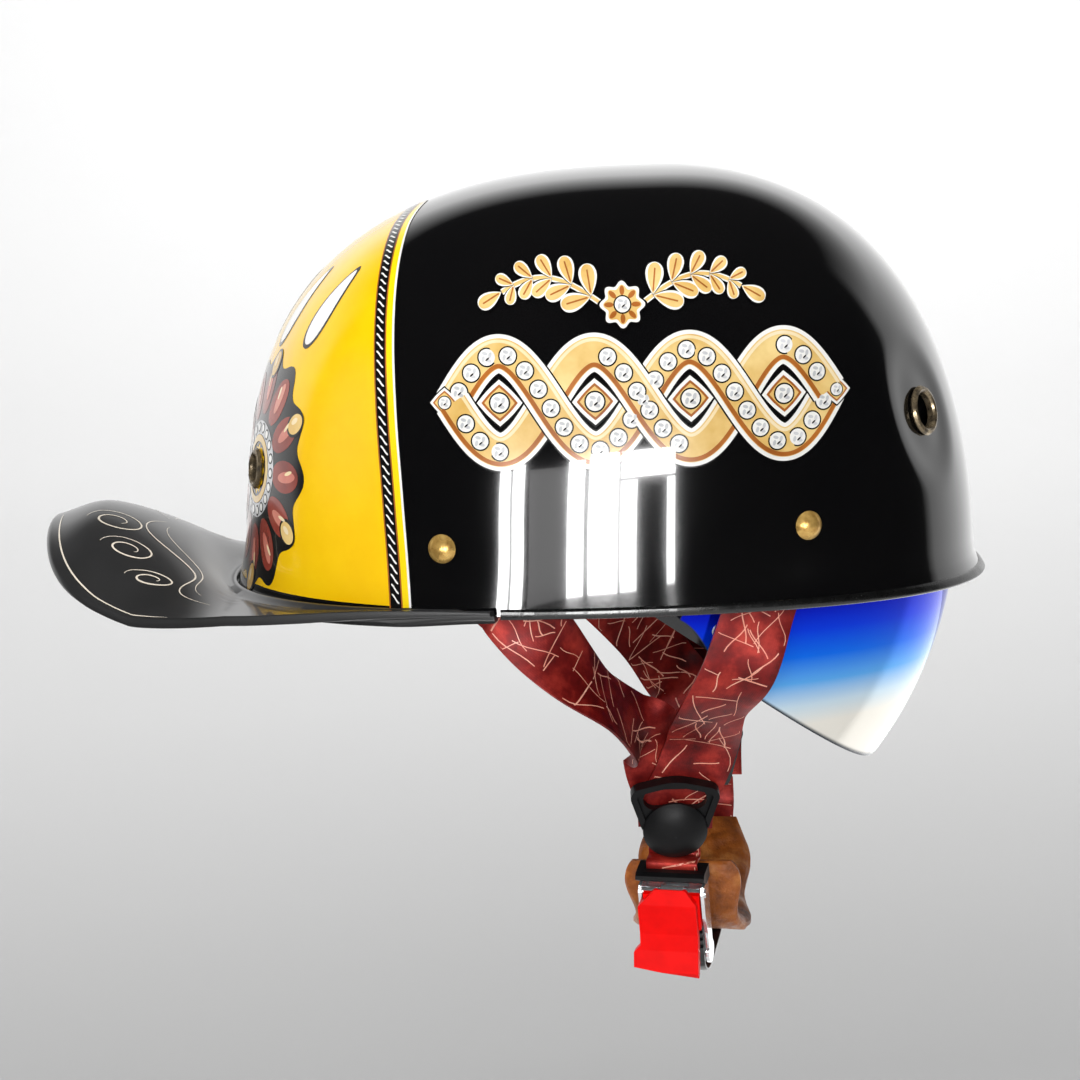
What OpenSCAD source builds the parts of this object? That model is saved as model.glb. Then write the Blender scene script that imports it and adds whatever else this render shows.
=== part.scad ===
// Motorcycle half helmet shaped like a baseball cap worn backwards:
// a dome with a bill at the rear, a retractable tinted lens at the front,
// a four-point chin harness and a toothed quick-release buckle.
// +X is the wearer's front, +Y the wearer's left, +Z up. The origin is where
// the top of the head touches the crown pad.

/* [Shell] */
// Height of the dome above the front and rear of the rim
shell_h = 145; // [138:0.5:152]
// Length of the dome ahead of its middle
shell_front = 135; // [131:0.5:140]
// Length of the dome behind its middle
shell_rear = 126.5; // [122:0.5:131]
// Half width of the dome at the rim
shell_half_w = 110; // [107:0.5:114]
// How far the crown leans forward of the middle
crown_lean = 23.4; // [16:0.2:28]
// Wall of the outer shell
shell_wall = 3.1; // [2.6:0.1:3.3]
// Outward flare of the rear wall at the rim
rear_flare = 4; // [2:0.5:6]
// Height over which the rear wall flares
rear_flare_h = 26; // [18:1:34]
// Outward roll of the front lip at the rim
front_lip = 3.2; // [2.5:0.1:4.5]
// Height over which the front lip rolls out
front_lip_h = 9; // [7:0.5:12]
// Rise of the rim at the wearer's ears
rim_rise = 3; // [1:0.5:5]

/* [Rim trim] */
// Wall of the rubber beading that grips the rim
trim_t = 1; // [0.9:0.1:1.6]
// Height of the beading up the shell
trim_up = 2.25; // [2:0.25:4]
// Depth of the beading below the rim
trim_down = 1.2; // [1.2:0.1:3]

/* [Brim] */
// Reach of the bill behind the dome's middle
brim_reach = 197; // [184:1:205]
// Half width of the bill at its rounded corners
brim_corner_w = 63.5; // [58:0.5:70]
// Thickness of the bill
brim_t = 3.4; // [3:0.1:4.2]
// Thickness of the bill at its root ends
brim_root_t = 1.8; // [1.6:0.1:3]
// Rise of the bill's centre line above the rim
brim_arch = 28.5; // [18:0.5:34]
// Height of the raised bead where the bill meets the shell
brim_bead = 2.6; // [1.5:0.1:4]

/* [Visor] */
// Pivot height above the rim
pivot_z = 20; // [18:0.25:22]
// Pivot distance behind the dome's mid-length
pivot_back = 18; // [16:0.5:20]
// Room between the shell's front and the raised lens, outer face to outer face
lens_front_gap = 5.6; // [5.2:0.1:8]
// The same room at each side, at the pivots
lens_side_gap = 7.5; // [7:0.1:10]
// Lens thickness
lens_t = 2; // [1.6:0.1:2.4]
// Angle of the lens's lower edge below the pivot
lens_low = 38.6; // [34:0.2:42]
// Angle of the lens's upper edge above the pivot
lens_top = 2; // [0:0.5:3]
// Height of the nose cut-out
nose_cut = 7; // [3:0.5:12]
// Radius of the pivot pins
pivot_r = 4; // [3:0.25:5]
// Radius of the hub on each lens carrier
hub_r = 13; // [11:0.5:15]

/* [Liner] */
// Depth of the foam liner's inner face inside the shell's outer face
liner_in = 28.5; // [26:0.5:31]
// The same depth at the crown
liner_in_top = 26; // [23:0.5:29]
// Thickness of the comfort pads at their edges
pad_edge = 4; // [3:0.25:5]
// Extra thickness of the comfort pads at their middles
pad_crown = 3.2; // [1.5:0.1:4.5]
// Thickness of the crown pad
crown_pad_t = 10; // [7:0.5:12]

/* [Vents and rivets] */
// Outer radius of the front eyelets
eye_front_r = 8.6; // [7.5:0.1:9.5]
// Outer radius of the rear eyelets
eye_rear_r = 7.2; // [6.5:0.1:8]
// Width of the metal ring of an eyelet
eye_ring = 2.6; // [1.8:0.1:3]
// Depth of the scoop around each front eyelet
scoop_depth = 1.9; // [0.5:0.1:2]
// Radius of the domed rivet heads
rivet_head_r = 4.8; // [4:0.1:6]
// Height of the domed rivet heads
rivet_head_h = 2.6; // [1.6:0.1:3.5]
// Radius of the rivet shanks
rivet_r = 2.4; // [2:0.1:2.8]

/* [Harness] */
// Width of the webbing
web_w = 25; // [22:0.5:26]
// Thickness of the webbing
web_t = 1.5; // [1.2:0.1:1.8]
// Width of the chin pad
chin_pad_w = 40; // [34:0.5:44]
// Thickness of the chin pad at its middle
chin_pad_t = 7; // [5:0.25:8]
// Radius of the round cap on each strap divider
divider_cap_r = 11.2; // [9:0.1:11.5]
// Thickness of the divider's front ring
divider_t = 3; // [2.4:0.1:3.4]

/* [Buckle] */
// Width inside the buckle's steel walls
buckle_w = 21; // [20:0.5:24]
// Length of the buckle's steel channel
buckle_l = 37; // [35:0.5:40]
// Sheet thickness of the steel channel
steel_t = 1.2; // [1:0.1:1.5]
// Radius of the lever's pivot pin
lever_pin_r = 1.5; // [1.2:0.05:1.8]
// Pitch of the ratchet teeth
tooth_pitch = 3; // [2.5:0.25:4]
// Height of the ratchet teeth
tooth_h = 0.9; // [0.6:0.1:1.1]
// Width of the toothed strip
strip_w = 18; // [15:0.5:19]

/* [Clearances] */
// Gap between faces that lie together
seat_gap = 0.3; // [0.2:0.05:0.4]
// Gap between the beading and the wall it grips
grip_gap = 0.1; // [0.05:0.05:0.2]
// Radial clearance of rivets, screws and eyelets in their holes
hole_gap = 0.08; // [0.04:0.02:0.1]
// Radial clearance of turning parts on their pins
run_gap = 0.05; // [0.03:0.01:0.08]

/* [Hidden] */

x_mid = -4;
lean_power = 2.2;
plan_n = 2.15;
front_p = 2.16;
front_q = 2.02;
rear_p = 4.12;
rear_q = 2.7;
pivot = [-pivot_back, 0, pivot_z];
lens_r = x_mid + shell_front + pivot_back - lens_front_gap;
lens_half_w = shell_half_w - lens_side_gap;
lens_n = 2.1;
lens_rear = 44;
crown = [x_mid + crown_lean, 0, shell_h];
seat = [crown.x, 0, shell_h - liner_in_top - seat_gap - crown_pad_t];
fine = 64;
small = 32;

function mix(a, b, t) = a + (b - a) * t;
function clamp01(v) = min(max(v, 0), 1);
function smooth(a, b, v) = let (t = clamp01((v - a) / (b - a))) t * t * (3 - 2 * t);
function spow(v, e) = sign(v) * pow(abs(v), e);
function flat(l) = [for (a = l) for (b = a) b];
function unit(v) = v / norm(v);

// The dome: phi runs round from the front, h is the height as a share of the full height.
function rim_z(phi) = rim_rise * pow(sin(phi), 2);
function dome(phi, h) =
    let (c = cos(phi), s = sin(phi), f = pow(max(c, 0), 2), r = pow(max(-c, 0), 2), m = s * s / 2)
    let (p = front_p * (f + m) + rear_p * (r + m), q = front_q * (f + m) + rear_q * (r + m))
    let (k = pow(max(1 - pow(h, p), 0), 1 / q), a = c > 0 ? shell_front : shell_rear)
    [x_mid + crown_lean * pow(h, lean_power) + k * a * spow(c, 2 / plan_n),
     k * shell_half_w * spow(s, 2 / plan_n), mix(rim_z(phi), shell_h, h)];
function dome_normal(phi, h) =
    unit(cross(dome(phi + 0.1, h) - dome(phi - 0.1, h), dome(phi, min(h + 0.002, 0.9995)) - dome(phi,
        max(h - 0.002, 0))));
function flare(phi, z) =
    rear_flare * pow(max(-cos(phi), 0), 2) * pow(max(1 - z / rear_flare_h, 0), 2)
    + front_lip * pow(max(cos(phi), 0), 2) * pow(max(1 - z / front_lip_h, 0), 2);
// A point t inside the dome's outer face.
function skin(phi, h, t) =
    let (b = dome(phi, h), n = dome_normal(phi, h))
    b - n * t + unit([n.x, n.y, 0]) * flare(phi, b.z);
function at_z(phi, z, t) = skin(phi, clamp01((z - rim_z(phi)) / (shell_h - rim_z(phi))), t);
function rim_at(phi, dz, t) = let (p = skin(phi, 0, t)) [p.x, p.y, rim_z(phi) + dz];
function find_phi(x, h, a = 0, b = 180, n = 22) =
    let (m = (a + b) / 2) n == 0 ? m : dome(m, h).x > x ? find_phi(x, h, m, b, n - 1) : find_phi(x, h, a, m,
        n - 1);
function levels(n, h0, e) = [for (i = [0:n - 1]) 1 - (1 - h0) * pow(1 - i / n, e)];

// Places on the shell: [phi, h] of the eyelets and rivets on the wearer's left.
function spot(x, z) = let (h = (z - 1.5) / (shell_h - 1.5)) [find_phi(x, h), h];
eye_front = spot(107.5, 61.5);
eye_rear = spot(-122.5, 45.5);
rivet_front = spot(63, 28);
rivet_rear = spot(-57, 24);

function scoop(p) =
    let (e = dome(eye_front[0], eye_front[1]), a = (abs(p.y) - e.y) / 13, b = (p.z - e.z) / 21)
    p.x > 0 ? scoop_depth * exp(-pow(a * a + b * b, 2.5)) : 0;

// Faces of a grid of points, rows by cols, two triangles a cell.
function cells(rows, cols, base, wrap, flip) = flat([
    for (i = [0:rows - 2]) for (j = [0:cols - (wrap ? 1 : 2)])
        let (k = (j + 1) % cols, a = base + i * cols + j, b = base + i * cols + k, c = a + cols, d = b + cols)
        flip ? [[a, b, c], [b, d, c]] : [[a, c, b], [b, c, d]]]);
function edge_strip(a, b) = flat([for (i = [0:len(a) - 2]) [[a[i], b[i], a[i + 1]],
    [a[i + 1], b[i], b[i + 1]]]]);
function volume6(p, f) = [for (i = 0, s = 0; i <= len(f); s = s
    + (i < len(f) ? p[f[i][0]] * cross(p[f[i][1]], p[f[i][2]]) : 0), i = i + 1) s][len(f)];
function turned(f) = [for (t = f) [t[0], t[2], t[1]]];

// A closed body from its triangles, turned the right way out.
module body(points, faces) {
    polyhedron(points, volume6(points, faces) > 0 ? turned(faces) : faces, convexity = 8);
}

// A closed body between two grids of points of the same size.
module slab(top, bottom) {
    rows = len(top);
    cols = len(top[0]);
    n = rows * cols;
    first = [for (j = [0:cols - 1]) j];
    last = [for (j = [0:cols - 1]) (rows - 1) * cols + j];
    left = [for (i = [0:rows - 1]) i * cols];
    right = [for (i = [0:rows - 1]) i * cols + cols - 1];
    body(concat(flat(top), flat(bottom)), concat(
        cells(rows, cols, 0, false, false), cells(rows, cols, n, false, true),
        turned(edge_strip(first, [for (j = first) j + n])), edge_strip(last, [for (j = last) j + n]),
        edge_strip(left, [for (i = left) i + n]), turned(edge_strip(right, [for (i = right) i + n]))));
}

// A cap between two rings-and-pole surfaces, joined along their first rings.
module cap_wall(outer, outer_pole, inner, inner_pole) {
    m = len(outer[0]);
    no = len(outer);
    ni = len(inner);
    po = no * m;
    bi = po + 1;
    pi_ = bi + ni * m;
    body(concat(flat(outer), [outer_pole], flat(inner), [inner_pole]), concat(
        cells(no, m, 0, true, true),
        [for (j = [0:m - 1]) [po - m + j, po - m + (j + 1) % m, po]],
        cells(ni, m, bi, true, false),
        [for (j = [0:m - 1]) [pi_ - m + (j + 1) % m, pi_ - m + j, pi_]],
        flat([for (j = [0:m - 1]) let (k = (j + 1) % m) [[k, j, bi + j], [k, bi + j, bi + k]]])));
}

// Moves a child built along +Z to a spot on the shell; side is 1 left, -1 right.
module on_shell(spot, side, t = 0) {
    n = dome_normal(spot[0], spot[1]);
    p = dome(spot[0], spot[1]) - n * t;
    translate([p.x, side * p.y, p.z]) rotate([0, acos(n.z), side * atan2(n.y, n.x)]) children();
}
module both_sides() {
    for (s = [-1, 1]) children_side(s) children();
}
module children_side(s) {
    $side = s;
    children();
}
module placed() translate(-seat) children();

// Shell, brim and trim
// Stations round the shell, closer together beside the front eyelets.
ring_step = 5;
ring_phi = concat([for (j = [-36:35]) j * ring_step], [for (s = [-1, 1]) for (j = [3:8])
    s * (j + 0.5) * ring_step]);
function sorted(l) = len(l) < 2 ? l : let (m = l[floor(len(l) / 2)])
    concat(sorted([for (v = l) if (v < m) v]), [m], sorted([for (v = l) if (v > m) v]));
phis = sorted(ring_phi);
module outer_shell() color([0.02, 0.02, 0.022]) placed() difference() {
    cap_wall(
        concat([[for (f = phis) rim_at(f, 0, 0)], [for (f = phis) at_z(f, rim_z(f) + trim_up, 0)],
            [for (f = phis) at_z(f, rim_z(f) + 6.5, 0)]],
            [for (h = levels(17, 0.085, 1.72)) [for (f = phis) skin(f, h, scoop(dome(f, h)))]]),
        crown,
        concat([[for (f = phis) rim_at(f, 0, shell_wall)],
            [for (f = phis) at_z(f, rim_z(f) + trim_up, shell_wall)],
            [for (f = phis) at_z(f, rim_z(f) + 6.5, shell_wall)]],
            [for (h = levels(9, 0.12, 1.7)) [for (f = phis) skin(f, h, shell_wall)]]),
        crown - [0, 0, shell_wall]);
    both_sides() {
        on_shell(rivet_front, $side) cylinder(h = 14, r = rivet_r + hole_gap, center = true, $fn = small);
        on_shell(rivet_rear, $side) cylinder(h = 14, r = rivet_r + hole_gap, center = true, $fn = small);
        on_shell(eye_front, $side) cylinder(h = 16, r = eye_front_r - eye_ring + 0.9 + hole_gap,
            center = true, $fn = small);
        on_shell(eye_rear, $side) cylinder(h = 14, r = eye_rear_r - eye_ring + 0.9 + hole_gap, center = true,
            $fn = small);
    }
}

brim_from = 105;
brim_x0 = x_mid - brim_reach;
brim_root_y = shell_half_w + 0.4;
function bez(a, b, c, d, t) = a * pow(1 - t, 3) + b * 3 * t * pow(1 - t, 2) + c * 3 * t * t * (1 - t)
    + d * pow(t, 3);
// Half of the bill's plan outline, s from 0 at the tip to 1 at the root end.
function brim_edge(s) = s < 0.5
    ? bez([brim_x0, 0], [brim_x0, 30], [brim_x0 + 5, brim_corner_w - 9], [brim_x0 + 21, brim_corner_w], s * 2)
    : bez([brim_x0 + 21, brim_corner_w], [brim_x0 + 47, brim_corner_w + 14.6], [-90, brim_root_y - 12],
        [-42, brim_root_y], s * 2 - 1);
function brim_ridge(x) = let (u = clamp01((x_mid - shell_rear - rear_flare + 3 - x) / 60))
    1.5 + brim_arch * (1 - pow(1 - u, 1.95)) - 6 * smooth(-180, -206, x);
function brim_side_z(x) =
    mix(0.6, 3, clamp01((x + 164) / 120)) + 2.2 * smooth(-135, -75, x) - 6 * smooth(-180, -206, x);
function brim_half(x) = mix(69, 109, clamp01((x + 164) / 120)) - 0.02 * max(-164 - x, 0);
function brim_z(x, y) =
    let (w = brim_half(x), v = min(abs(y) / w, 1.1)) brim_side_z(x)
        + (brim_ridge(x) - brim_side_z(x)) * (1 - v * v);
function brim_top(a, e, phi, u) =
    let (x = mix(a.x, e.x, u), y = mix(a.y, e.y, u), k = pow(clamp01(1 - u / 0.22), 2))
    [x, y, mix(brim_z(x, y), rim_z(phi) + 0.4, k) - (u > 0.999 ? 1.1 : 0)];
module brim() color([0.03, 0.03, 0.032]) placed() {
    us = [0.09, 0.18, 0.3, 0.46, 0.64, 0.82, 0.95, 1];
    n = (180 - brim_from) / ring_step;
    rows = [for (i = [-n:n])
        let (s = i / n, phi = 180 + s * (180 - brim_from), e2 = brim_edge(abs(s)), e = [e2.x, -sign(s) * e2.y])
        let (a = rim_at(phi, 0, -seat_gap), b = rim_at(phi, 0, -seat_gap - 1.6),
            w = norm([e.x - b.x, e.y - b.y]))
        [a, b, e, phi, min(1, w / 12), smooth(0, 36, w)]];
    slab(
        [for (r = rows) let (a = r[0], b = r[1], e = r[2], phi = r[3], g = r[4]) concat(
            [rim_at(phi, -0.2, shell_wall), rim_at(phi, -0.2, 0.2), rim_at(phi, -0.2, -seat_gap),
                a + [0, 0, g * brim_bead],
                b + [0, 0, g * brim_bead * 0.85]],
            [for (u = us) brim_top(b, e, phi, u)])],
        [for (r = rows) let (a = r[0], b = r[1], e = r[2], phi = r[3], t = mix(brim_root_t, brim_t, r[5])) concat(
            [rim_at(phi, -t, shell_wall - 0.3), rim_at(phi, -t, 0.2), rim_at(phi, -t, 0),
                (a + b) / 2 - [0, 0, t],
                b * 1.5 - a / 2 - [0, 0, t]],
            [for (u = us) brim_top(b, e, phi, u) - [0, 0, u > 0.999 ? t - 1.1 - brim_t * 0.27 * r[5] : t]])]);
}

module rim_trim() color([0.03, 0.03, 0.03]) placed() {
    end = brim_from - 0.7;
    fs = concat([-end], [for (f = phis) if (abs(f) < end - 1) f], [end]);
    slab(
        [for (f = fs) let (z = rim_z(f) + trim_up) [
            at_z(f, z, -grip_gap), at_z(f, z, -trim_t), rim_at(f, -0.5, -trim_t), rim_at(f, -trim_down, -0.2),
            rim_at(f, -trim_down, shell_wall + 0.2), rim_at(f, -0.5, shell_wall + trim_t),
                at_z(f, z, shell_wall + trim_t),
            at_z(f, z, shell_wall + grip_gap)]],
        [for (f = fs) let (z = rim_z(f) + trim_up - 0.01) [
            at_z(f, z, -grip_gap), at_z(f, z, -grip_gap - 0.01), rim_at(f, -0.1, -grip_gap),
                rim_at(f, -grip_gap - 0.01, 0.4),
            rim_at(f, -grip_gap - 0.01, shell_wall - 0.4), rim_at(f, -0.1, shell_wall + grip_gap),
            at_z(f, z, shell_wall + grip_gap - 0.01), at_z(f, z, shell_wall + grip_gap)]]);
}

// Foam liner and comfort pads
lens_space = lens_t + seat_gap;
arm_t = 2.4;
function liner_out(phi, h) =
    let (a = abs(phi > 180 ? phi - 360 : phi))
    let (side = a < 80 ? 9.9 + 7.4 * pow(sin(1.5 * a), 2) : 15.45, low = mix(side, shell_wall + seat_gap
        + 0.6, smooth(112, 132, a)))
    mix(low, shell_wall + seat_gap + 0.6, smooth(0.74, 0.95, h));
function liner_inner(h) = mix(liner_in, liner_in_top, smooth(0.6, 1, h));
liner_n = 48;
liner_joint_x = -46;
liner_up = levels(11, 0.035, 1.7);
module liner_body() difference() {
    m = liner_n;
    up = liner_up;
    cap_wall(
        [for (h = up) [for (j = [0:m - 1]) let (f = j * 360 / m) skin(f, h, liner_out(f, h))]],
        crown - [0, 0, shell_wall + seat_gap + 0.6],
        [for (h = up) [for (j = [0:m - 1]) skin(j * 360 / m, h, liner_inner(h))]],
        crown - [0, 0, liner_in_top]);
    both_sides() translate([pivot.x, $side * (lens_half_w - 10.5), pivot.z]) rotate([-90 * $side, 0, 0])
        cylinder(h = 20, r = hub_r + 2, $fn = fine);
    both_sides() on_shell(eye_front, $side, 6) cylinder(h = 60, r = 5.2, center = true, $fn = small);
    both_sides() on_shell(eye_rear, $side, 6) cylinder(h = 60, r = 4.6, center = true, $fn = small);
}

// The liner is two front blocks, which meet at the middle, and a rear block behind the lens pivots.
module foam_liner_side(side) color([0.09, 0.09, 0.1]) placed() intersection() {
    liner_body();
    translate([liner_joint_x + seat_gap / 2, side > 0 ? seat_gap / 2 : -seat_gap / 2 - 200, -50])
        cube([200, 200, 400]);
}
module foam_liner_rear() color([0.09, 0.09, 0.1]) placed() intersection() {
    liner_body();
    translate([liner_joint_x - seat_gap / 2 - 400, -200, -50]) cube(400);
}

// A cushion on the liner's inner face, with its edges drawn in.
module liner_pad(f0, f1, h0, h1, nf, nh) {
    slab(
        [for (i = [0:nf]) [for (j = [0:nh]) let (h = mix(h0, h1, j / nh)) skin(mix(f0, f1, i / nf), h,
            liner_inner(h) + seat_gap + 0.1)]],
        [for (i = [0:nf]) [for (j = [0:nh])
            let (h = mix(h0, h1, j / nh), a = 2 * i / nf - 1, b = 2 * j / nh - 1)
            let (k = sqrt(max((1 - pow(a, 4)) * (1 - pow(b, 4)), 0)))
            skin(mix(f0, f1, i / nf), h, liner_inner(h) + seat_gap + 0.1 + mix(1, pad_edge,
                smooth(0, 0.3, k)) + pad_crown * k)]]);
}
module brow_pad() color([0.16, 0.09, 0.06]) placed() liner_pad(-46, 46, 0.03, 0.27, 18, 6);
module side_pad(s) color([0.16, 0.09, 0.06]) placed() liner_pad(s * 62, s * 118, 0.05, 0.42, 12, 7);
module side_pad_right() side_pad(-1);
module side_pad_left() side_pad(1);
module rear_pad() color([0.16, 0.09, 0.06]) placed() liner_pad(140, 220, 0.03, 0.36, 16, 6);
module crown_pad() color([0.16, 0.09, 0.06]) placed() {
    m = liner_n;
    h0 = liner_up[9];
    top = [for (h = [h0, liner_up[10]]) [for (j = [0:m - 1]) skin(j * 360 / m, h, liner_inner(h) + seat_gap)]];
    low = [for (i = [0:4]) [for (j = [0:m - 1])
        let (h = mix(h0, 0.998, sqrt(i / 4)), f = j * 360 / m)
        let (quilt = 1.2 * pow(abs(sin(1.5 * f)), 0.5) * smooth(0, 2, i) * (1 - i / 5))
        skin(f, h, liner_inner(h) + seat_gap + mix(2.5, crown_pad_t - 1.2, smooth(0, 2.4, i)) + quilt)]];
    cap_wall(top, crown - [0, 0, liner_in_top + seat_gap], low, seat);
}

// Eyelets and rivets
module eyelet(r, back) {
    rotate_extrude($fn = fine) polygon([
        [r - eye_ring, -back], [r - eye_ring + 0.9, -back], [r - eye_ring + 0.9, 0.15], [r - 0.3, 0.15],
            [r, 0.7],
        [r - 0.6, 1.6], [r - 1.5, 1.9], [r - eye_ring + 0.4, 1.5], [r - eye_ring, 0.8]]);
}
module front_eyelets() color([0.55, 0.5, 0.42]) placed() both_sides() on_shell(eye_front, $side,
    scoop_depth - 0.2) eyelet(eye_front_r, 1.2);
module rear_eyelets() color([0.55, 0.5, 0.42]) placed() both_sides() on_shell(eye_rear, $side)
    eyelet(eye_rear_r, shell_wall);

web_in = shell_wall + seat_gap + web_t / 2 + 0.75;
rivet_grip = web_in + web_t / 2 + seat_gap;
module strap_rivets() color([0.7, 0.55, 0.28]) placed() both_sides() for (s = [rivet_front, rivet_rear])
    on_shell(s, $side) {
    ball = (pow(rivet_head_r, 2) + pow(rivet_head_h, 2)) / (2 * rivet_head_h);
    intersection() {
        translate([0, 0, 0.25 + rivet_head_h - ball]) sphere(r = ball, $fn = fine);
        translate([0, 0, 0.25]) cylinder(h = rivet_head_h + 1, r = rivet_head_r, $fn = fine);
    }
    translate([0, 0, -rivet_grip - 1.4]) cylinder(h = rivet_grip + 1.7, r = rivet_r, $fn = small);
}
module rivet_washers() color([0.6, 0.6, 0.6]) placed() both_sides() for (s = [rivet_front, rivet_rear])
    on_shell(s, $side)
    translate([0, 0, -rivet_grip - 1.1]) difference() {
        cylinder(h = 0.9, r = 6, $fn = small);
        translate([0, 0, -1]) cylinder(h = 4, r = rivet_r + hole_gap, $fn = small);
    }

// Visor: lens and carriers are surfaces of revolution about the pivot axis
function lens_pt(rho, th, inset) =
    let (a = lens_r - inset, b = lens_half_w - inset)
    [pivot.x + rho * cos(th), b * pow(max(1 - pow(rho / a, lens_n), 0), 1 / lens_n), pivot.z + rho * sin(th)];
function lens_sweep(u, th, inset) =
    let (a = lens_r - inset, b = lens_half_w - inset, end = acos(pow(lens_rear / a, lens_n / 2)), w = u * end)
    [pivot.x + a * pow(cos(w), 2 / lens_n) * cos(th), b * spow(sin(w), 2 / lens_n), pivot.z + a * pow(cos(w),
        2 / lens_n) * sin(th)];
function lens_low_at(u) = -lens_low + (nose_cut / lens_r * 180 / PI) / (1 + pow(u / 0.14, 4))
    + 9 * smooth(0.86, 1, abs(u));
module visor_lens() color([0.1, 0.35, 0.9, 0.7]) placed() difference() {
    nu = 40;
    nt = 6;
    slab(
        [for (i = [0:nu]) let (u = 2 * i / nu - 1)
            [for (j = [0:nt]) lens_sweep(u, mix(lens_low_at(u), lens_top, j / nt), 0)]],
        [for (i = [0:nu]) let (u = 2 * i / nu - 1)
            [for (j = [0:nt]) lens_sweep(u, mix(lens_low_at(u), lens_top, j / nt), lens_t)]]);
    both_sides() screw_spots() cylinder(h = 60, r = 1.6 + hole_gap, center = true, $fn = small);
}
screw_rho = 58;
module screw_spots() for (th = [-27, -8]) {
    p = lens_pt(screw_rho, th, 0);
    translate([p.x, $side * p.y, p.z]) rotate([-90 * $side, 0, 0]) children();
}
module carrier(s) color([0.04, 0.04, 0.045]) placed() difference() {
    inset = lens_t + seat_gap;
    hub_y = lens_half_w - inset - arm_t - 0.2;
    union() {
        difference() {
            slab(
                [for (i = [0:9]) [for (j = [0:8])
                    let (rho = mix(7, 76, i / 9), th = mix(-36 + 60 / rho, 0, j / 8),
                        p = lens_pt(rho, th, inset)) [p.x, s * p.y, p.z]]],
                [for (i = [0:9]) [for (j = [0:8])
                    let (rho = mix(7, 76, i / 9), th = mix(-36 + 60 / rho, 0, j / 8),
                        p = lens_pt(rho, th, inset + arm_t)) [p.x, s * p.y, p.z]]]);
            for (c = [[35, -18.5, 5], [51.5, -18, 5.6]])
                translate([pivot.x + c[0] * cos(c[1]), 0, pivot.z + c[0] * sin(c[1])]) rotate([-90 * s, 0, 0])
                    cylinder(h = 150, r = c[2], $fn = small);
        }
        translate([pivot.x, s * hub_y, pivot.z]) rotate([-90 * s, 0, 0]) cylinder(h = arm_t + 0.2, r = hub_r,
            $fn = fine);
    }
    translate([pivot.x, 0, pivot.z]) rotate([-90 * s, 0, 0]) cylinder(h = 200, r = pivot_r + run_gap,
        $fn = fine);
    children_side(s) screw_spots() cylinder(h = 60, r = 1.6 + hole_gap, center = true, $fn = small);
}
module carrier_right() carrier(-1);
module carrier_left() carrier(1);
module lens_screws() color([0.2, 0.2, 0.21]) placed() both_sides() screw_spots() {
    translate([0, 0, -lens_t - seat_gap - arm_t - 0.8]) cylinder(h = lens_t + seat_gap + arm_t + 2, r = 1.6,
        $fn = small);
    translate([0, 0, 0.9]) cylinder(h = 0.8, r = 2.8, $fn = small);
}

// Pivot brackets, bonded inside the shell
hub_out = lens_half_w - lens_t - seat_gap;
washer_t = 0.6;
module pivot_bracket(s) color([0.04, 0.04, 0.045]) placed() {
    difference() {
        union() {
            intersection() {
                union() {
                    translate([pivot.x, s * (hub_out + washer_t + 0.2), pivot.z]) rotate([-90 * s, 0, 0])
                        cylinder(h = 14, r = 9, $fn = fine);
                    translate([pivot.x - 12, s > 0 ? hub_out + washer_t + 0.2 : -hub_out - washer_t - 14.2,
                        pivot.z]) cube([24, 14, 26]);
                }
                wall = [for (i = [0:8]) [for (j = [0:4])
                    let (p = at_z(mix(78, 112, i / 8), mix(8, 50, j / 4), shell_wall + seat_gap + 0.1))
                        [p.x, s * p.y, p.z]]];
                slab(wall, [for (r = wall) [for (p = r) [p.x, s * 80, p.z]]]);
            }
            translate([pivot.x, s * (lens_half_w - 7.2), pivot.z]) rotate([-90 * s, 0, 0])
                cylinder(h = 9, r = pivot_r, $fn = fine);
        }
        translate([pivot.x, s * (lens_half_w - 8), pivot.z]) rotate([-90 * s, 0, 0]) cylinder(h = 9, r = 1.6,
            $fn = small);
    }
}
module pivot_bracket_right() pivot_bracket(-1);
module pivot_bracket_left() pivot_bracket(1);
module pivot_washers() color([0.75, 0.75, 0.72]) placed() both_sides()
    translate([pivot.x, $side * (hub_out + 0.1), pivot.z]) rotate([-90 * $side, 0, 0]) difference() {
        cylinder(h = washer_t, r = 8.5, $fn = fine);
        translate([0, 0, -1]) cylinder(h = 3, r = pivot_r + run_gap, $fn = fine);
    }
module pivot_screws() color([0.2, 0.2, 0.21]) placed() both_sides()
    translate([pivot.x, $side * (lens_half_w - 7.3), pivot.z]) rotate([-90 * $side, 0, 0]) {
        translate([0, 0, -1.8]) difference() {
            cylinder(h = 1.8, r = 6, $fn = small);
            translate([0, 0, -1]) cylinder(h = 2, r = 1.6, $fn = 6);
        }
        translate([0, 0, -0.1]) cylinder(h = 8, r = 1.52, $fn = small);
    }

// Webbing: ribbons swept through hand-placed points [x, y, z] with a width direction at each
function spline(p, i, t) =
    let (n = len(p) - 1, a = p[max(i - 1, 0)], b = p[i], c = p[min(i + 1, n)], d = p[min(i + 2, n)])
    0.5 * ((2 * b) + (c - a) * t + (2 * a - 5 * b + 4 * c - d) * t * t + (3 * b - a - 3 * c + d) * t * t * t);
function along(p, k) = [for (i = [0:len(p) - 2]) for (j = [0:(i == len(p) - 2 ? k : k - 1)])
    spline(p, i, j / k)];
function tangent(p, i) = unit(p[min(i + 1, len(p) - 1)] - p[max(i - 1, 0)]);
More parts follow.
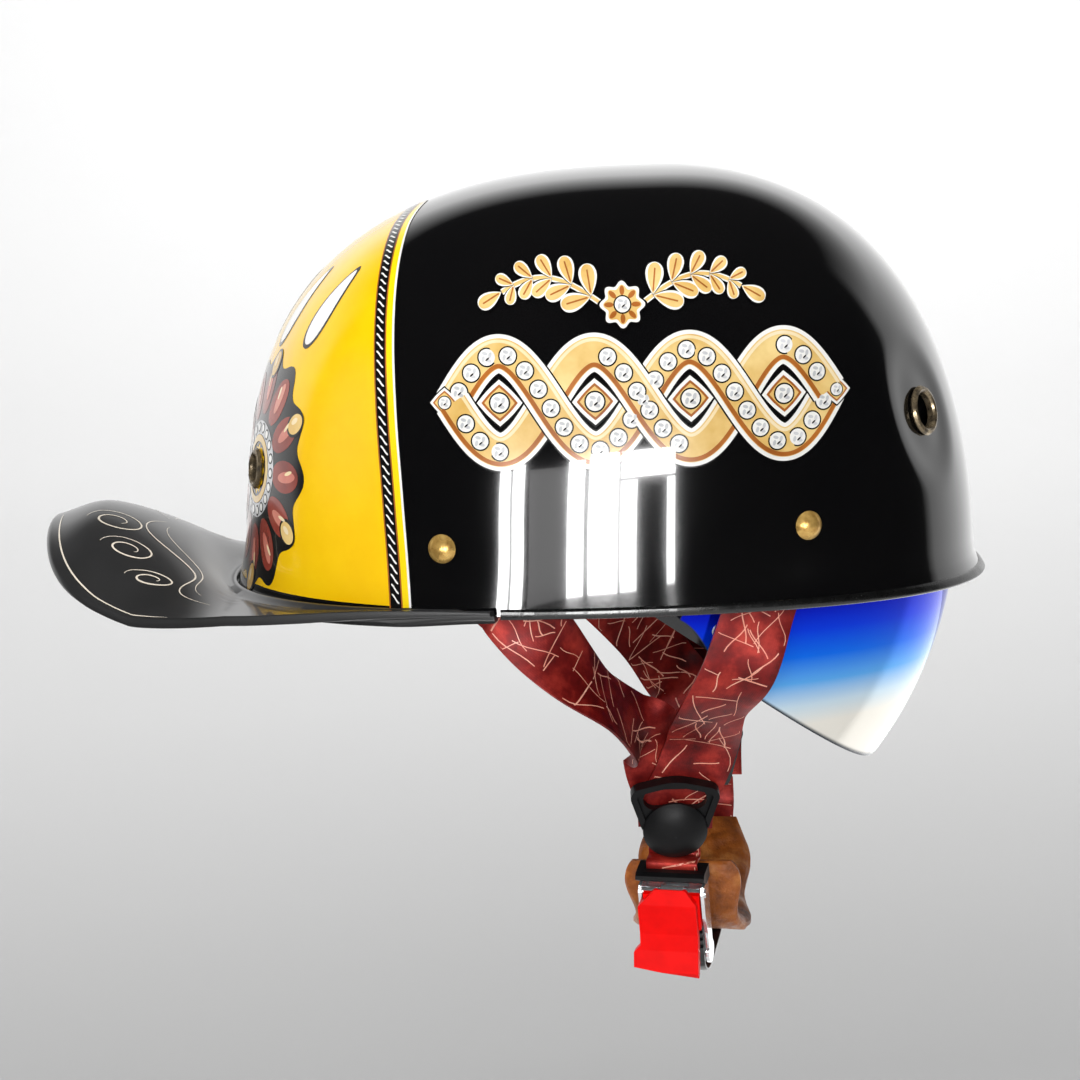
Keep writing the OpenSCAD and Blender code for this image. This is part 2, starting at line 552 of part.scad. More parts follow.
// One face of a ribbon: stations along the path, points across the width, off the middle by side.
function ribbon_face(path, wide, w, off, across) = [for (i = [0:len(path) - 1])
    let (t = tangent(path, i), u = unit(wide[i] - t * (wide[i] * t)), n = cross(t, u))
    [for (v = across) path[i] + u * (v * w / 2) + n * off]];
module ribbon(points, wides, w, t, k = 4) {
    path = along(points, k);
    wide = along(wides, k);
    slab(ribbon_face(path, wide, w, t / 2, [-1, 1]), ribbon_face(path, wide, w, -t / 2, [-1, 1]));
}
// The harness hangs from the sides, so its points spread with the shell's width.
side_fit = shell_half_w / 110;
function fitted(l) = [for (p = l) [p.x, p.y * side_fit, p.z]];
function mirror_y(p, s) = [p.x, s * p.y, p.z];
function on_wall(x, z, t, s) = let (f = find_phi(x, (z - 1.5) / (shell_h - 1.5))) mirror_y(at_z(f, z, t), s);
// The width direction w laid flat against the wall at that place.
function wall_dir(x, z, w, s) =
    let (h = (z - 1.5) / (shell_h - 1.5), n = mirror_y(dome_normal(find_phi(x, h), h), s))
        unit(w - n * (w * n));

// Strap dividers: local x across, y inward, z up
div_tilt = 20;
div_at = fitted([[19, -63, -75.5], [36, 54, -84]]);
function div_frame(s, p) =
    let (c = s < 0 ? div_at[0] : div_at[1], a = div_tilt, y = p.y * cos(a) - p.z * sin(a), z = p.y * sin(a)
        + p.z * cos(a))
    [c.x + p.x, c.y - s * y, c.z + z];
// A direction [x, z] in the divider's plane.
function div_dir(s, x, z) = [x, s * z * sin(div_tilt), z * cos(div_tilt)];
div_y1 = divider_t / 2 + seat_gap + web_t / 2;
div_y2 = div_y1 + web_t + seat_gap;
// How far each leg leaves its layer at a height above the divider's slot.
function splay(z) = 0.07 * max(z - 13, 0);

module strap(points, wides, spot, s) color([0.45, 0.1, 0.11]) placed() difference() {
    ribbon(points, wides, web_w, web_t, 3);
    on_shell(spot, s) cylinder(h = 30, r = rivet_r + hole_gap, center = true, $fn = small);
}
function front_leg(s, rim_x, mid) = concat(
    [on_wall(70.5, 38, web_in, s), on_wall(63, 28, web_in, s), on_wall(56, 18, web_in + 0.4, s),
        on_wall(rim_x + 3, 8, web_in + 1.2, s),
     on_wall(rim_x, 3, web_in + 1.6, s) - [0, 0, 3]], fitted(mid),
    [for (z = [26, 14, 3, -8])
        div_frame(s, [mix(s < 0 ? 0.6 : 2, s < 0 ? 9.4 : 4, clamp01(z / 24)), div_y1 - splay(z), z])]);
front_dir = [0.8, 0, -0.6];
function front_wides(s) = concat(
    [for (q = [[70.5, 38], [63, 28], [56, 18]]) wall_dir(q[0], q[1], front_dir, s)],
    [wall_dir(48, 8, [0.9, 0, -0.4], s), wall_dir(46, 5, [0.95, 0, -0.3], s)],
    s < 0 ? [[0.97, 0.1, -0.2], [0.9, 0.34, -0.16]] : [[0.98, 0, -0.15], [0.98, -0.05, -0.15]],
    [for (z = [-0.18, -0.14, -0.05, 0]) div_dir(s, 1, z)]);
function rear_leg(s, mid) = concat(
    [on_wall(-68, 34, web_in, s), on_wall(-57, 24, web_in, s), on_wall(-47, 15, web_in + 0.2, s),
        on_wall(-38, 7.5, web_in + 1.1, s),
     on_wall(-33, 4.4, web_in + 1.5, s) - [0, 0, 3]], fitted(mid),
    [for (z = [26, 14, 3, -8]) div_frame(s, [mix(0, -7, clamp01(z / 24)), div_y2 + splay(z), z])]);
rear_dir = [0.66, 0, 0.75];
function rear_wides(s) = concat(
    [for (q = [[-68, 34], [-57, 24], [-47, 15], [-38, 7.5], [-33, 4.4]]) wall_dir(q[0], q[1], rear_dir, s)],
    s < 0 ? [[0.55, 0.62, 0.5], [0.3, 0.93, 0.2], [0.4, 0.88, 0.2]] : [[0.7, 0, 0.7], [0.75, -0.1, 0.65],
        [0.82, -0.18, 0.55]],
    s < 0 ? [[0.88, 0.36, 0.26], [0.99, 0.03, 0.15]] : [div_dir(s, 1, 0.36), div_dir(s, 1, 0.15)],
    [div_dir(s, 1, 0.05), div_dir(s, 1, 0)]);
module strap_front_right() strap(front_leg(-1, 48, [[39.5, -96.5, -20], [30.5, -86, -37]]), front_wides(-1),
    rivet_front, -1);
module strap_rear_right() strap(rear_leg(-1, [[-17, -97.5, -16], [-2.5, -89, -31], [7, -75.5, -43]]),
    rear_wides(-1), rivet_rear, -1);
module strap_front_left() strap(front_leg(1, 49, [[46.5, 93.5, -26], [43, 75.5, -45.5]]), front_wides(1),
    rivet_front, 1);
module strap_rear_left() strap(rear_leg(1, [[-7, 96, -20], [14, 80.5, -39], [24, 64.5, -51.5]]),
    rear_wides(1), rivet_rear, 1);

module at_divider(s) {
    c = s < 0 ? div_at[0] : div_at[1];
    translate(c) mirror([0, s < 0 ? 0 : 1, 0]) rotate([div_tilt, 0, 0]) children();
}
module plate(h) rotate([90, 0, 0]) linear_extrude(h, center = true) children();
module divider_outline() hull() {
    translate([-11.3, 7.4]) circle(r = 4, $fn = small);
    translate([11.3, 7.4]) circle(r = 4, $fn = small);
    translate([0, 4]) scale([1.42, 1]) circle(r = 9.8, $fn = fine);
    translate([0, -6]) circle(r = divider_cap_r - 0.4, $fn = fine);
}
module slot_2d(w, h) hull() for (i = [-1, 1]) translate([i * (w - h) / 2, 0]) circle(r = h / 2, $fn = small);
module divider(s) color([0.04, 0.04, 0.045]) placed() at_divider(s) {
    difference() {
        plate(divider_t) divider_outline();
        plate(divider_t * 3) translate([0, 6]) slot_2d(22, 8.4);
    }
    translate([0, -0.7, 0]) plate(divider_t + 1.4) difference() {
        divider_outline();
        offset(delta = -2.2) divider_outline();
        translate([0, -19]) square([60, 26], center = true);
        translate([0, -6.4]) circle(r = divider_cap_r + 0.2, $fn = fine);
    }
}
module divider_right() divider(-1);
module divider_left() divider(1);
module divider_cap(s) color([0.05, 0.05, 0.055]) placed() at_divider(s)
    translate([0, -divider_t / 2 - 0.1, -6.4]) rotate([90, 0, 0]) {
        ball = (pow(divider_cap_r, 2) + 16) / 8;
        intersection() {
            translate([0, 0, 5 - ball]) sphere(r = ball, $fn = fine);
            cylinder(h = 6, r = divider_cap_r, $fn = fine);
        }
    }
module divider_cap_right() divider_cap(-1);
module divider_cap_left() divider_cap(1);
module divider_back(s) color([0.04, 0.04, 0.045]) placed() at_divider(s)
    translate([0, div_y2 + web_t / 2 + seat_gap + 0.9, 0]) plate(1.8) intersection() {
        divider_outline();
        translate([0, -2]) square([60, 21], center = true);
    }
module divider_back_right() divider_back(-1);
module divider_back_left() divider_back(1);

// Buckle: local x across, y inward, z up, origin just above the cover
buckle_at = fitted([[18.33, -56.13, -93.88]])[0];
buckle_tilt = 14;
buckle_yaw = 15;
lever_at = [0, -4.6, -11.2];
lever_w = buckle_w + 2 * steel_t - 0.4;
module at_buckle() translate(buckle_at) rotate([0, 0, -buckle_yaw]) rotate([buckle_tilt, 0, 0]) children();
function buckle_frame(p) =
    let (y = p.y * cos(buckle_tilt) - p.z * sin(buckle_tilt), z = p.y * sin(buckle_tilt)
        + p.z * cos(buckle_tilt))
    buckle_at + [p.x * cos(buckle_yaw) + y * sin(buckle_yaw), -p.x * sin(buckle_yaw) + y * cos(buckle_yaw), z];
module side_profile(w) rotate([90, 0, 90]) linear_extrude(w, center = true) children();
module along_x(r, w) rotate([0, 90, 0]) cylinder(r = r, h = w, center = true, $fn = small);

module buckle_strap() color([0.45, 0.1, 0.11]) placed()
    ribbon([div_frame(-1, [0, div_y1, -8.8]), div_frame(-1, [0, div_y1, -13]),
        div_frame(-1, [0, div_y1, -17]), div_frame(-1, [0, div_y1 - 0.2, -20]),
            buckle_frame([0, -2.4, -0.7]), buckle_frame([0, -2.4, -4.2]), buckle_frame([0, -2.4, -7.4])],
        [[1, 0, 0], [1, 0, 0], [1, 0, 0], [1, -0.1, 0], [1, -0.25, 0], [1, -0.27, 0], [1, -0.27, 0]], 18,
            web_t, 3);

module buckle_channel() color([0.75, 0.76, 0.78]) placed() at_buckle() difference() {
    union() {
        translate([-buckle_w / 2 - steel_t, 0, -buckle_l - 2])
            cube([buckle_w + 2 * steel_t, steel_t, buckle_l - 6]);
        for (s = [-1, 1]) translate([s * (buckle_w + steel_t) / 2, 0, 0]) side_profile(steel_t) union() {
            polygon([[0.6, -8], [-6.2, -8], [-7.4, -10.5], [-7, -20], [-5, -27], [-5, -buckle_l + 4],
                [0.6, -buckle_l + 2]]);
            translate([-1.5, -buckle_l + 1]) circle(r = 4.2, $fn = fine);
        }
    }
    translate(lever_at) along_x(lever_pin_r + hole_gap, 60);
    translate([-6, -1, -buckle_l + 4]) cube([12, 4, 6]);
}
module buckle_cover() color([0.04, 0.04, 0.045]) placed() at_buckle() difference() {
    side_profile(buckle_w + 2 * steel_t + 1) polygon([[2, -2.7], [2, -7.7], [-3.8, -7.7], [-8, -4.9],
        [-7.6, -3.6], [-6, -2.7]]);
    translate([0, -2.4, -5]) cube([18 + 2 * seat_gap + 0.4, web_t + 2 * seat_gap + 0.4, 20], center = true);
}
module release_lever() color([0.85, 0.03, 0.03]) placed() at_buckle() difference() {
    union() {
        intersection() {
            side_profile(lever_w + 8) polygon([[-7.6, -8.2], [-9, -8], [-10.6, -13.4], [-10.4, -25], [-11.6, -31],
                [-14, -38.4], [-13, -41], [-10.6, -38], [-8.6, -30.4], [-7.6, -25]]);
            plate(60) polygon([[-lever_w / 2 + 6.5, -7.6], [lever_w / 2 - 6.5, -7.6], [lever_w / 2 - 2.3, -13],
                [lever_w / 2 - 2.3, -40.4], [-lever_w / 2 - 2.4, -37], [-lever_w / 2 - 2.4, -32],
                [-lever_w / 2, -29.4], [-lever_w / 2, -14.2]]);
        }
        side_profile(buckle_w - 1) polygon([
            [-7.7, -10.6], [-8, -24], [-5, -23.6], [-4, -22.2], [-4.1, -20], [-5.4, -17.6], [-2.9, -15.6],
                [-2.4, -12.4],
            [-3.4, -10.6], [-5.2, -10.2]]);
    }
    translate(lever_at) along_x(lever_pin_r + run_gap, 60);
    translate(lever_at - [0, 0, 0.6]) cube([9, 7.4, 8.6], center = true);
}
module lever_pin() color([0.8, 0.8, 0.82]) placed() at_buckle() translate(lever_at) along_x(lever_pin_r,
    buckle_w + 2 * steel_t + 0.6);
module lever_spring() color([0.7, 0.7, 0.72]) placed() at_buckle() translate(lever_at) difference() {
    along_x(lever_pin_r + 0.95, 8);
    along_x(lever_pin_r + 0.25, 12);
}

strip_t = 1.5;
module ratchet_strip() color([0.04, 0.04, 0.045]) placed() {
    teeth = floor(19 / tooth_pitch);
    at_buckle() side_profile(strip_w) polygon(concat(
        [[-0.3, -18.5], [-0.3, -41], [-0.3 - strip_t, -41]],
        flat([for (i = [teeth - 1:-1:0]) let (z = -19.5 - i * tooth_pitch)
            [[-0.3 - strip_t, z - tooth_pitch + 0.1], [-0.3 - strip_t - tooth_h, z - 0.1]]]),
        [[-0.3 - strip_t, -19.3], [-0.9, -18.5]]));
    ribbon(concat([buckle_frame([0, -1.05, -40.6]), buckle_frame([0, -0.9, -42.5])],
        fitted([[22, -42, -138.4], [23.8, -33, -139.2], [26.3, -21, -137.4], [29.1, -8.5, -134.2],
            [30.8, 2, -132.4]])),
        [[1, -0.27, 0], [1, -0.27, 0], [1, -0.3, 0], [1, -0.3, 0], [1, -0.3, 0], [1, -0.2, 0], [1, -0.1, 0]],
            strip_w, strip_t, 3);
}
module chin_strap() color([0.45, 0.1, 0.11]) placed()
    ribbon(concat(fitted([[28.8, -11, -132], [30.9, 0, -130.5], [33.3, 14, -127.8], [34.6, 29, -122.6],
        [34.9, 41, -115], [35.6, 47.2, -108.5]]),
        [div_frame(1, [0, div_y1, -18]), div_frame(1, [0, div_y1, -9])]),
        [[1, -0.2, 0], [1, -0.15, 0], [1, -0.08, 0], [1, 0, 0], [1, 0, 0], [1, 0, 0], [1, 0, 0], [1, 0, 0]],
            web_w - 3, web_t, 3);

// Chin pad: a cushion on the inner side of the chin strap, with rounded ends
chin_pad_path = along(fitted([[22, -41.5, -99], [22.5, -40, -108], [23.5, -36.5, -118], [25.5, -26.5, -126],
    [27.5, -11, -128.2], [29, 6, -125.8], [30, 21, -120.4], [30.6, 32.5, -113], [31, 38.5, -104.5]]), 3);
chin_pad_wide = along([[1, -0.2, 0], [1, -0.2, 0], [1, -0.25, 0], [1, -0.25, 0], [1, -0.15, 0],
    [1, -0.05, 0], [1, 0, 0], [1, 0, 0],
    [1, 0, 0]], 3);
chin_pad_n = len(chin_pad_path) - 1;
// How far the pad's back stands out towards the chin strap.
chin_pad_back = 2.2;
function pad_end(i) = 2 * i / chin_pad_n - 1;
function pad_grow(i, v) =
    let (e = sqrt(1 - pow(pad_end(i), 6)), c = sqrt(1 - pow(v, 4)), seam = 0.16 * exp(-pow(v / 0.12, 2)),
        fold = 0.07 * sin(i * 97 + v * 60))
    max(0.16, e * c * (1 - seam + fold));
function pad_half_w(i) = chin_pad_w / 2 * (1 - 0.12 * pow(pad_end(i), 6) + 0.035 * sin(i * 50));
function pad_face(inner) = [for (i = [0:chin_pad_n])
    let (t = tangent(chin_pad_path, i), u = unit(chin_pad_wide[i] - t * (chin_pad_wide[i] * t)),
        m = cross(u, t))
    [for (v = [-1, -0.92, -0.72, -0.42, -0.1, 0.1, 0.42, 0.72, 0.92, 1])
        chin_pad_path[i] + u * (v * pad_half_w(i)) + m * (inner ? pad_grow(i, v) * (chin_pad_t - chin_pad_back)
            : -chin_pad_back * min(1, 2 * pad_grow(i, v)))]];
module chin_pad() color([0.35, 0.17, 0.08]) placed() slab(pad_face(false), pad_face(true));

outer_shell();
brim();
rim_trim();
foam_liner_side(-1);  // foam_liner_right
foam_liner_side(1);  // foam_liner_left
foam_liner_rear();
brow_pad();
side_pad_right();
side_pad_left();
rear_pad();
crown_pad();
front_eyelets();
rear_eyelets();
strap_rivets();
rivet_washers();
visor_lens();
carrier_right();
carrier_left();
lens_screws();
pivot_bracket_right();
pivot_bracket_left();
pivot_screws();
pivot_washers();
strap_front_right();
strap_rear_right();
strap_front_left();
strap_rear_left();
divider_right();
divider_left();
divider_cap_right();
divider_cap_left();
divider_back_right();
divider_back_left();
buckle_strap();
buckle_channel();
buckle_cover();
release_lever();
lever_pin();
lever_spring();
ratchet_strip();
chin_strap();
chin_pad();
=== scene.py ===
import bpy
import numpy as np
from math import acos, atan2, radians
from mathutils import Matrix, Vector
from numpy import (arange, array, clip, concatenate, cos, cross, exp, full, gradient, interp,
                   linspace, maximum, minimum, pi, sign, sin, sqrt, stack, where)
from numpy.linalg import norm


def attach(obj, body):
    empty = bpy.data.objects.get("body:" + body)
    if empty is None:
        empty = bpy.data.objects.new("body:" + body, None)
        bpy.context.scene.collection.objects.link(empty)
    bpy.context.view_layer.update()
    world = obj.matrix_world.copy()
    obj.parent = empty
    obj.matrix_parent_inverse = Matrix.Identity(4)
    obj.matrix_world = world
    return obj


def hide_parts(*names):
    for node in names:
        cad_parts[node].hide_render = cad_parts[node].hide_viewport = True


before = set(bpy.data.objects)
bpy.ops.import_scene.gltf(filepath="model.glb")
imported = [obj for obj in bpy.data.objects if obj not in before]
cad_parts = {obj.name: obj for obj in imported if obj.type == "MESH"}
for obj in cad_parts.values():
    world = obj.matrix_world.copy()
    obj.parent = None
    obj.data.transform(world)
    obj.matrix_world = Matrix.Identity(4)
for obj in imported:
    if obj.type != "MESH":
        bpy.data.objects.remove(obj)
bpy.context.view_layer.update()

rng = np.random.default_rng(7)

# Millimetres, X 0 at the shell's middle and Z 0 at its rim; SEAT is the frame's origin
SEAT = array([19.4, 0.0, 108.7])
# Shell: height, plan centre, lean of the crown, reach to the front and to the rear, half width
H, XM, LEAN, FRONT, REAR, HALF = 145.0, -4.0, 23.4, 135.0, 126.5, 110.0
WALL, RISE, RIM_MID, PLAN, GAP = 3.1, 3.0, 1.5, 2.15, 0.3
FRONT_CURVE, REAR_CURVE, LEAN_POWER = (2.16, 2.02), (4.12, 2.7), 2.2
FRONT_FLARE, FRONT_FLARE_H, REAR_FLARE, REAR_FLARE_H = 3.2, 9.0, 4.0, 26.0
SCOOP_DEEP, SCOOP_W, SCOOP_H = 1.9, 13, 21
CROWN = array([XM + LEAN, 0.0, H])
SIDES = array([[1, -1, 1], [1, 1, 1]])
# Lens: pivots, reach, half width, curve, thickness, angles below and above the pivots, reach at its ends
PIVOT = array([-18.0, 0.0, 20.0])
LENS_R, LENS_W, LENS_N, LENS_T, LENS_LOW, LENS_TOP, LENS_END = 143.4, 102.5, 2.1, 2.0, 38.6, 2.0, 44


def arr(*v):
    return np.broadcast_arrays(*[array(x, float) for x in v])


def unit(v):
    return v / maximum(norm(v, axis=-1, keepdims=True), 1e-12)


def span(n):
    return linspace(0, 1, n)


def spow(v, e):
    return sign(v) * abs(v) ** e


def smooth(a, b, v):
    t = clip((v - a) / (b - a), 0, 1)
    return t * t * (3 - 2 * t)


def mix(a, b, t):
    return a + (b - a) * t


def cosd(a):
    return cos(np.radians(a))


def sind(a):
    return sin(np.radians(a))


def rim_z(phi):
    return RISE * sind(phi) ** 2


def dome(phi, h):
    """The shell's outer surface, by plan angle and by level from 0 at the rim to 1 at the crown."""
    phi, h = arr(phi, h)
    c, s = cosd(phi), sind(phi)
    f, r, m = maximum(c, 0) ** 2, maximum(-c, 0) ** 2, s * s / 2
    p, q = (front * (f + m) + rear * (r + m) for front, rear in zip(FRONT_CURVE, REAR_CURVE))
    k = maximum(1 - h ** p, 0) ** (1 / q)
    a = where(c > 0, FRONT, REAR)
    return stack([XM + LEAN * h ** LEAN_POWER + k * a * spow(c, 2 / PLAN), k * HALF * spow(s, 2 / PLAN),
                     mix(rim_z(phi), H, h)], -1)


def dome_n(phi, h):
    phi, h = arr(phi, h)
    return unit(cross(dome(phi + 0.1, h) - dome(phi - 0.1, h),
                         dome(phi, minimum(h + 0.002, 0.9995)) - dome(phi, maximum(h - 0.002, 0))))


def skin(phi, h, t):
    """The surface t inside the dome, with the flare at its rim."""
    phi, h, t = arr(phi, h, t)
    b, n = dome(phi, h), dome_n(phi, h)
    c, z = cosd(phi), b[..., 2]
    flare = (REAR_FLARE * maximum(-c, 0) ** 2 * maximum(1 - z / REAR_FLARE_H, 0) ** 2
             + FRONT_FLARE * maximum(c, 0) ** 2 * maximum(1 - z / FRONT_FLARE_H, 0) ** 2)
    return b - n * t[..., None] + unit(n * [1, 1, 0]) * flare[..., None]


def level(phi, z):
    return (z - rim_z(phi)) / (H - rim_z(phi))


def side_level(z):
    return (z - RIM_MID) / (H - RIM_MID)


def at_z(phi, z, t):
    return skin(phi, clip(level(phi, z), 0, 1), t)


def rim_at(phi, dz, t):
    p = skin(phi, 0.0, t)
    p[..., 2] = rim_z(phi) + dz
    return p


def find_phi(x, h):
    x, h = arr(x, h)
    a, b = np.zeros(x.shape), full(x.shape, 180.0)
    for _ in range(26):
        m = (a + b) / 2
        more = dome(m, h)[..., 0] > x
        a, b = where(more, m, a), where(more, b, m)
    return (a + b) / 2


def levels(n, h0, e):
    return 1 - (1 - h0) * (1 - arange(n) / n) ** e


def spot(x, z):
    h = side_level(z)
    return float(find_phi(x, h)), h


EYE_FRONT, EYE_REAR = spot(107.5, 61.5), spot(-122.5, 45.5)


def scoop(p):
    e = dome(*EYE_FRONT)
    a, b = (abs(p[..., 1]) - e[1]) / SCOOP_W, (p[..., 2] - e[2]) / SCOOP_H
    return where(p[..., 0] > 0, SCOOP_DEEP * exp(-(a * a + b * b) ** 2.5), 0)


def vent_holes(front, rear):
    """The four vent axes, from how far inside the skin they start, their radius and their reach."""
    holes = []
    for k in SIDES:
        for eye, (inset, r, deep) in ((EYE_FRONT, front), (EYE_REAR, rear)):
            n = dome_n(*eye) * k
            holes.append((dome(*eye) * k - n * inset, n, r, deep))
    return holes


def foot(p):
    """The dome's [phi, h] nearest to each point."""
    p = array(p, float)
    h = clip(p[..., 2] / H, 0.01, 0.97)
    phi = np.degrees(np.arctan2(p[..., 1] / HALF, (p[..., 0] - XM - LEAN * h ** LEAN_POWER) / FRONT))
    for _ in range(9):
        b = dome(phi, h)
        dp = (dome(phi + 0.05, h) - dome(phi - 0.05, h)) / 0.1
        dh = (dome(phi, h + 0.001) - dome(phi, h - 0.001)) / 0.002
        r = p - b
        aa, bb, ab = (dp * dp).sum(-1), (dh * dh).sum(-1), (dp * dh).sum(-1)
        u, v = (r * dp).sum(-1), (r * dh).sum(-1)
        det = aa * bb - ab * ab
        phi = phi + clip((u * bb - v * ab) / det, -12, 12)
        h = clip(h + clip((v * aa - u * ab) / det, -0.08, 0.08), 0.002, 0.985)
    return phi, h


# Mesh helpers
def mesh(a, b):
    return np.meshgrid(a, b, indexing="ij")


def cells(rows, cols, base=0, wrap=False, flip=False):
    i, j = mesh(arange(rows - 1), arange(cols if wrap else cols - 1))
    k = (j + 1) % cols
    a, b = base + i * cols + j, base + i * cols + k
    q = stack([a, b, b + cols, a + cols] if flip else [a, a + cols, b + cols, b], -1)
    return q.reshape(-1, 4).tolist()


def add(name, data):
    o = bpy.data.objects.new(name, data)
    bpy.context.scene.collection.objects.link(o)
    return o


def make(name, v, f, mat, replaces=(), angle=40, body="helmet", normals=None, attrs=None):
    me = bpy.data.meshes.new(name)
    me.from_pydata(((array(v, float).reshape(-1, 3) - SEAT) / 1000).tolist(), [], f)
    me.validate()
    me.update()
    for key, val in (attrs or {}).items():
        a = me.attributes.new(key, "FLOAT", "POINT")
        a.data.foreach_set("value", array(val, np.float32).ravel())
    me.materials.append(mat)
    me.shade_smooth()
    if angle is not None:
        me.set_sharp_from_angle(angle=radians(angle))
    if normals is not None:
        me.normals_split_custom_set_from_vertices(array(normals, float).reshape(-1, 3).tolist())
    o = add(name, me)
    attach(o, body)
    if replaces:
        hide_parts(*replaces)
    return o


def outward(v, f):
    """Turns a closed mesh's faces outward."""
    v = array(v).reshape(-1, 3)
    s = 0.0
    for q in f:
        for i in range(1, len(q) - 1):
            s += np.dot(v[q[0]], cross(v[q[i]], v[q[i + 1]]))
    return f if s > 0 else [q[::-1] for q in f]


def loops(rings, ends=True):
    """A closed tube through rings of points, with flat ends."""
    v = array(rings)
    n, m = v.shape[:2]
    f = cells(n, m, wrap=True)
    if ends:
        f += [list(range(m)), list(range(n * m - 1, (n - 1) * m - 1, -1))]
    return v.reshape(-1, 3), outward(v, f)


def cap(outer, op, inner, ip):
    """A closed cap from outer and inner rings and the pole of each."""
    no, m = outer.shape[:2]
    ni = inner.shape[0]
    po, bi = no * m, no * m + 1
    pole = bi + ni * m
    v = concatenate([outer.reshape(-1, 3), [op], inner.reshape(-1, 3), [ip]])
    f = cells(no, m, 0, True) + cells(ni, m, bi, True, True)
    for j in range(m):
        k = (j + 1) % m
        f += [[po, po - m + k, po - m + j], [pole, pole - m + j, pole - m + k], [j, k, bi + k, bi + j]]
    return v, f


HOLE_MARGIN = 0.7


def pierce(v, f, holes):
    """Opens round holes: faces near an axis go, and the edge left is drawn to the hole's radius."""
    v = v.copy()
    gone = set()
    for c, n, r, deep in holes:
        d = v - c
        t = d @ n
        rad = d - np.outer(t, n)
        rr = norm(rad, axis=1)
        near = abs(t) < deep
        inner = set(np.nonzero(near & (rr < r - HOLE_MARGIN))[0].tolist())
        edge = set()
        for k, q in enumerate(f):
            if any(i in inner for i in q):
                gone.add(k)
                edge.update(q)
        e = array(sorted(edge - inner), int)
        if len(e):
            v[e] += rad[e] * (r / maximum(rr[e], 0.1) - 1)[:, None]
    return v, [q for k, q in enumerate(f) if k not in gone]


def slab(top, bottom):
    r, c = top.shape[:2]
    n = r * c
    f = cells(r, c) + cells(r, c, n, flip=True)
    left, right = arange(r) * c, arange(r) * c + c - 1
    for line, turn in ((arange(c), 0), (n - c + arange(c), 1), (left, 1), (right, 0)):
        for a, b in zip(line[:-1], line[1:]):
            q = [int(a), int(b), int(b) + n, int(a) + n]
            f.append(q if turn else q[::-1])
    v = concatenate([top.reshape(-1, 3), bottom.reshape(-1, 3)])
    return v, outward(v, f)


def along(p, k):
    """A smooth path through points, with k steps between two of them."""
    p = array(p, float)
    n, out = len(p) - 1, []
    for i in range(n):
        a, b, c, d = p[max(i - 1, 0)], p[i], p[min(i + 1, n)], p[min(i + 2, n)]
        for j in range(k + 1 if i == n - 1 else k):
            t = j / k
            out.append(0.5 * (2 * b + (c - a) * t + (2 * a - 5 * b + 4 * c - d) * t * t
                              + (3 * b - a - 3 * c + d) * t ** 3))
    return array(out)


def run_of(path):
    return concatenate([[0], np.cumsum(norm(np.diff(path, axis=0), axis=1))])


def pick(at, run, values):
    return stack([interp(at, run, values[:, c]) for c in range(3)], -1)


# Materials
def new_mat(name):
    m = bpy.data.materials.new(name)
    m.use_nodes = True
    n, l = m.node_tree.nodes, m.node_tree.links
    return m, n, l, n["Principled BSDF"]


def fill(node, inputs, **fields):
    """Sets a node's input values and its own fields."""
    for key, value in inputs.items():
        node.inputs[key].default_value = value
    for key, value in fields.items():
        setattr(node, key, value)
    return node


def shader(n, kind, inputs={}, **fields):
    return fill(n.new("ShaderNode" + kind), inputs, **fields)


def coords(n, kind="Object"):
    return shader(n, "TexCoord").outputs[kind]


def ramp(n, l, src, stops):
    """A colour ramp; a single number stands for a grey."""
    r = shader(n, "ValToRGB")
    el = r.color_ramp.elements
    while len(el) < len(stops):
        el.new(0.5)
    for e, (pos, col) in zip(el, stops):
        e.position = pos
        e.color = (*(col if isinstance(col, tuple) else (col,) * 3), 1)
    l.new(src, r.inputs[0])
    return r.outputs[0]


def tone(n, l, p, socket, src, stops):
    l.new(ramp(n, l, src, stops), p.inputs[socket])


def noise(n, l, scale, detail=4, rough=0.55, stretch=None):
    vec = coords(n)
    if stretch:
        mp = shader(n, "Mapping", {"Scale": stretch})
        l.new(vec, mp.inputs[0])
        vec = mp.outputs[0]
    t = shader(n, "TexNoise", {"Scale": scale, "Detail": detail, "Roughness": rough})
    l.new(vec, t.inputs["Vector"])
    return t.outputs["Fac"]


def cell_pattern(n, l, scale, feature="F1"):
    v = shader(n, "TexVoronoi", {"Scale": scale}, feature=feature)
    l.new(coords(n), v.inputs["Vector"])
    return v.outputs["Distance"]


def attribute(n, name):
    return shader(n, "Attribute", attribute_name=name).outputs["Fac"]


def bump(n, l, b, height, strength, dist=0.001, chain=None):
    u = shader(n, "Bump", {"Strength": strength, "Distance": dist})
    l.new(height, u.inputs["Height"])
    if chain:
        l.new(chain, u.inputs["Normal"])
    l.new(u.outputs[0], b.inputs["Normal"])
    return u.outputs[0]


def srgb(*rgb):
    return tuple(c / 12.92 if c <= 0.04045 else ((c + 0.055) / 1.055) ** 2.4 for c in (v / 255 for v in rgb))


def plain(name, a, b, rough, scale=300, grain=900, relief=0.1, coat=0.0, metal=0.0, rvar=0.06, spec=0.5):
    """A finish whose colour wanders between a and b, with its own grain and uneven gloss."""
    m, n, l, p = new_mat(name)
    tone(n, l, p, "Base Color", noise(n, l, scale), [(0.3, a), (0.7, b)])
    gloss = [(0.3, max(rough - rvar, 0)), (0.75, rough + rvar)]
    tone(n, l, p, "Roughness", noise(n, l, scale * 0.6, 3), gloss)
    fill(p, {"Metallic": metal, "Coat Weight": coat, "Coat Roughness": 0.02, "Specular IOR Level": spec})
    bump(n, l, p, noise(n, l, grain, 2), relief, 0.0004)
    return m


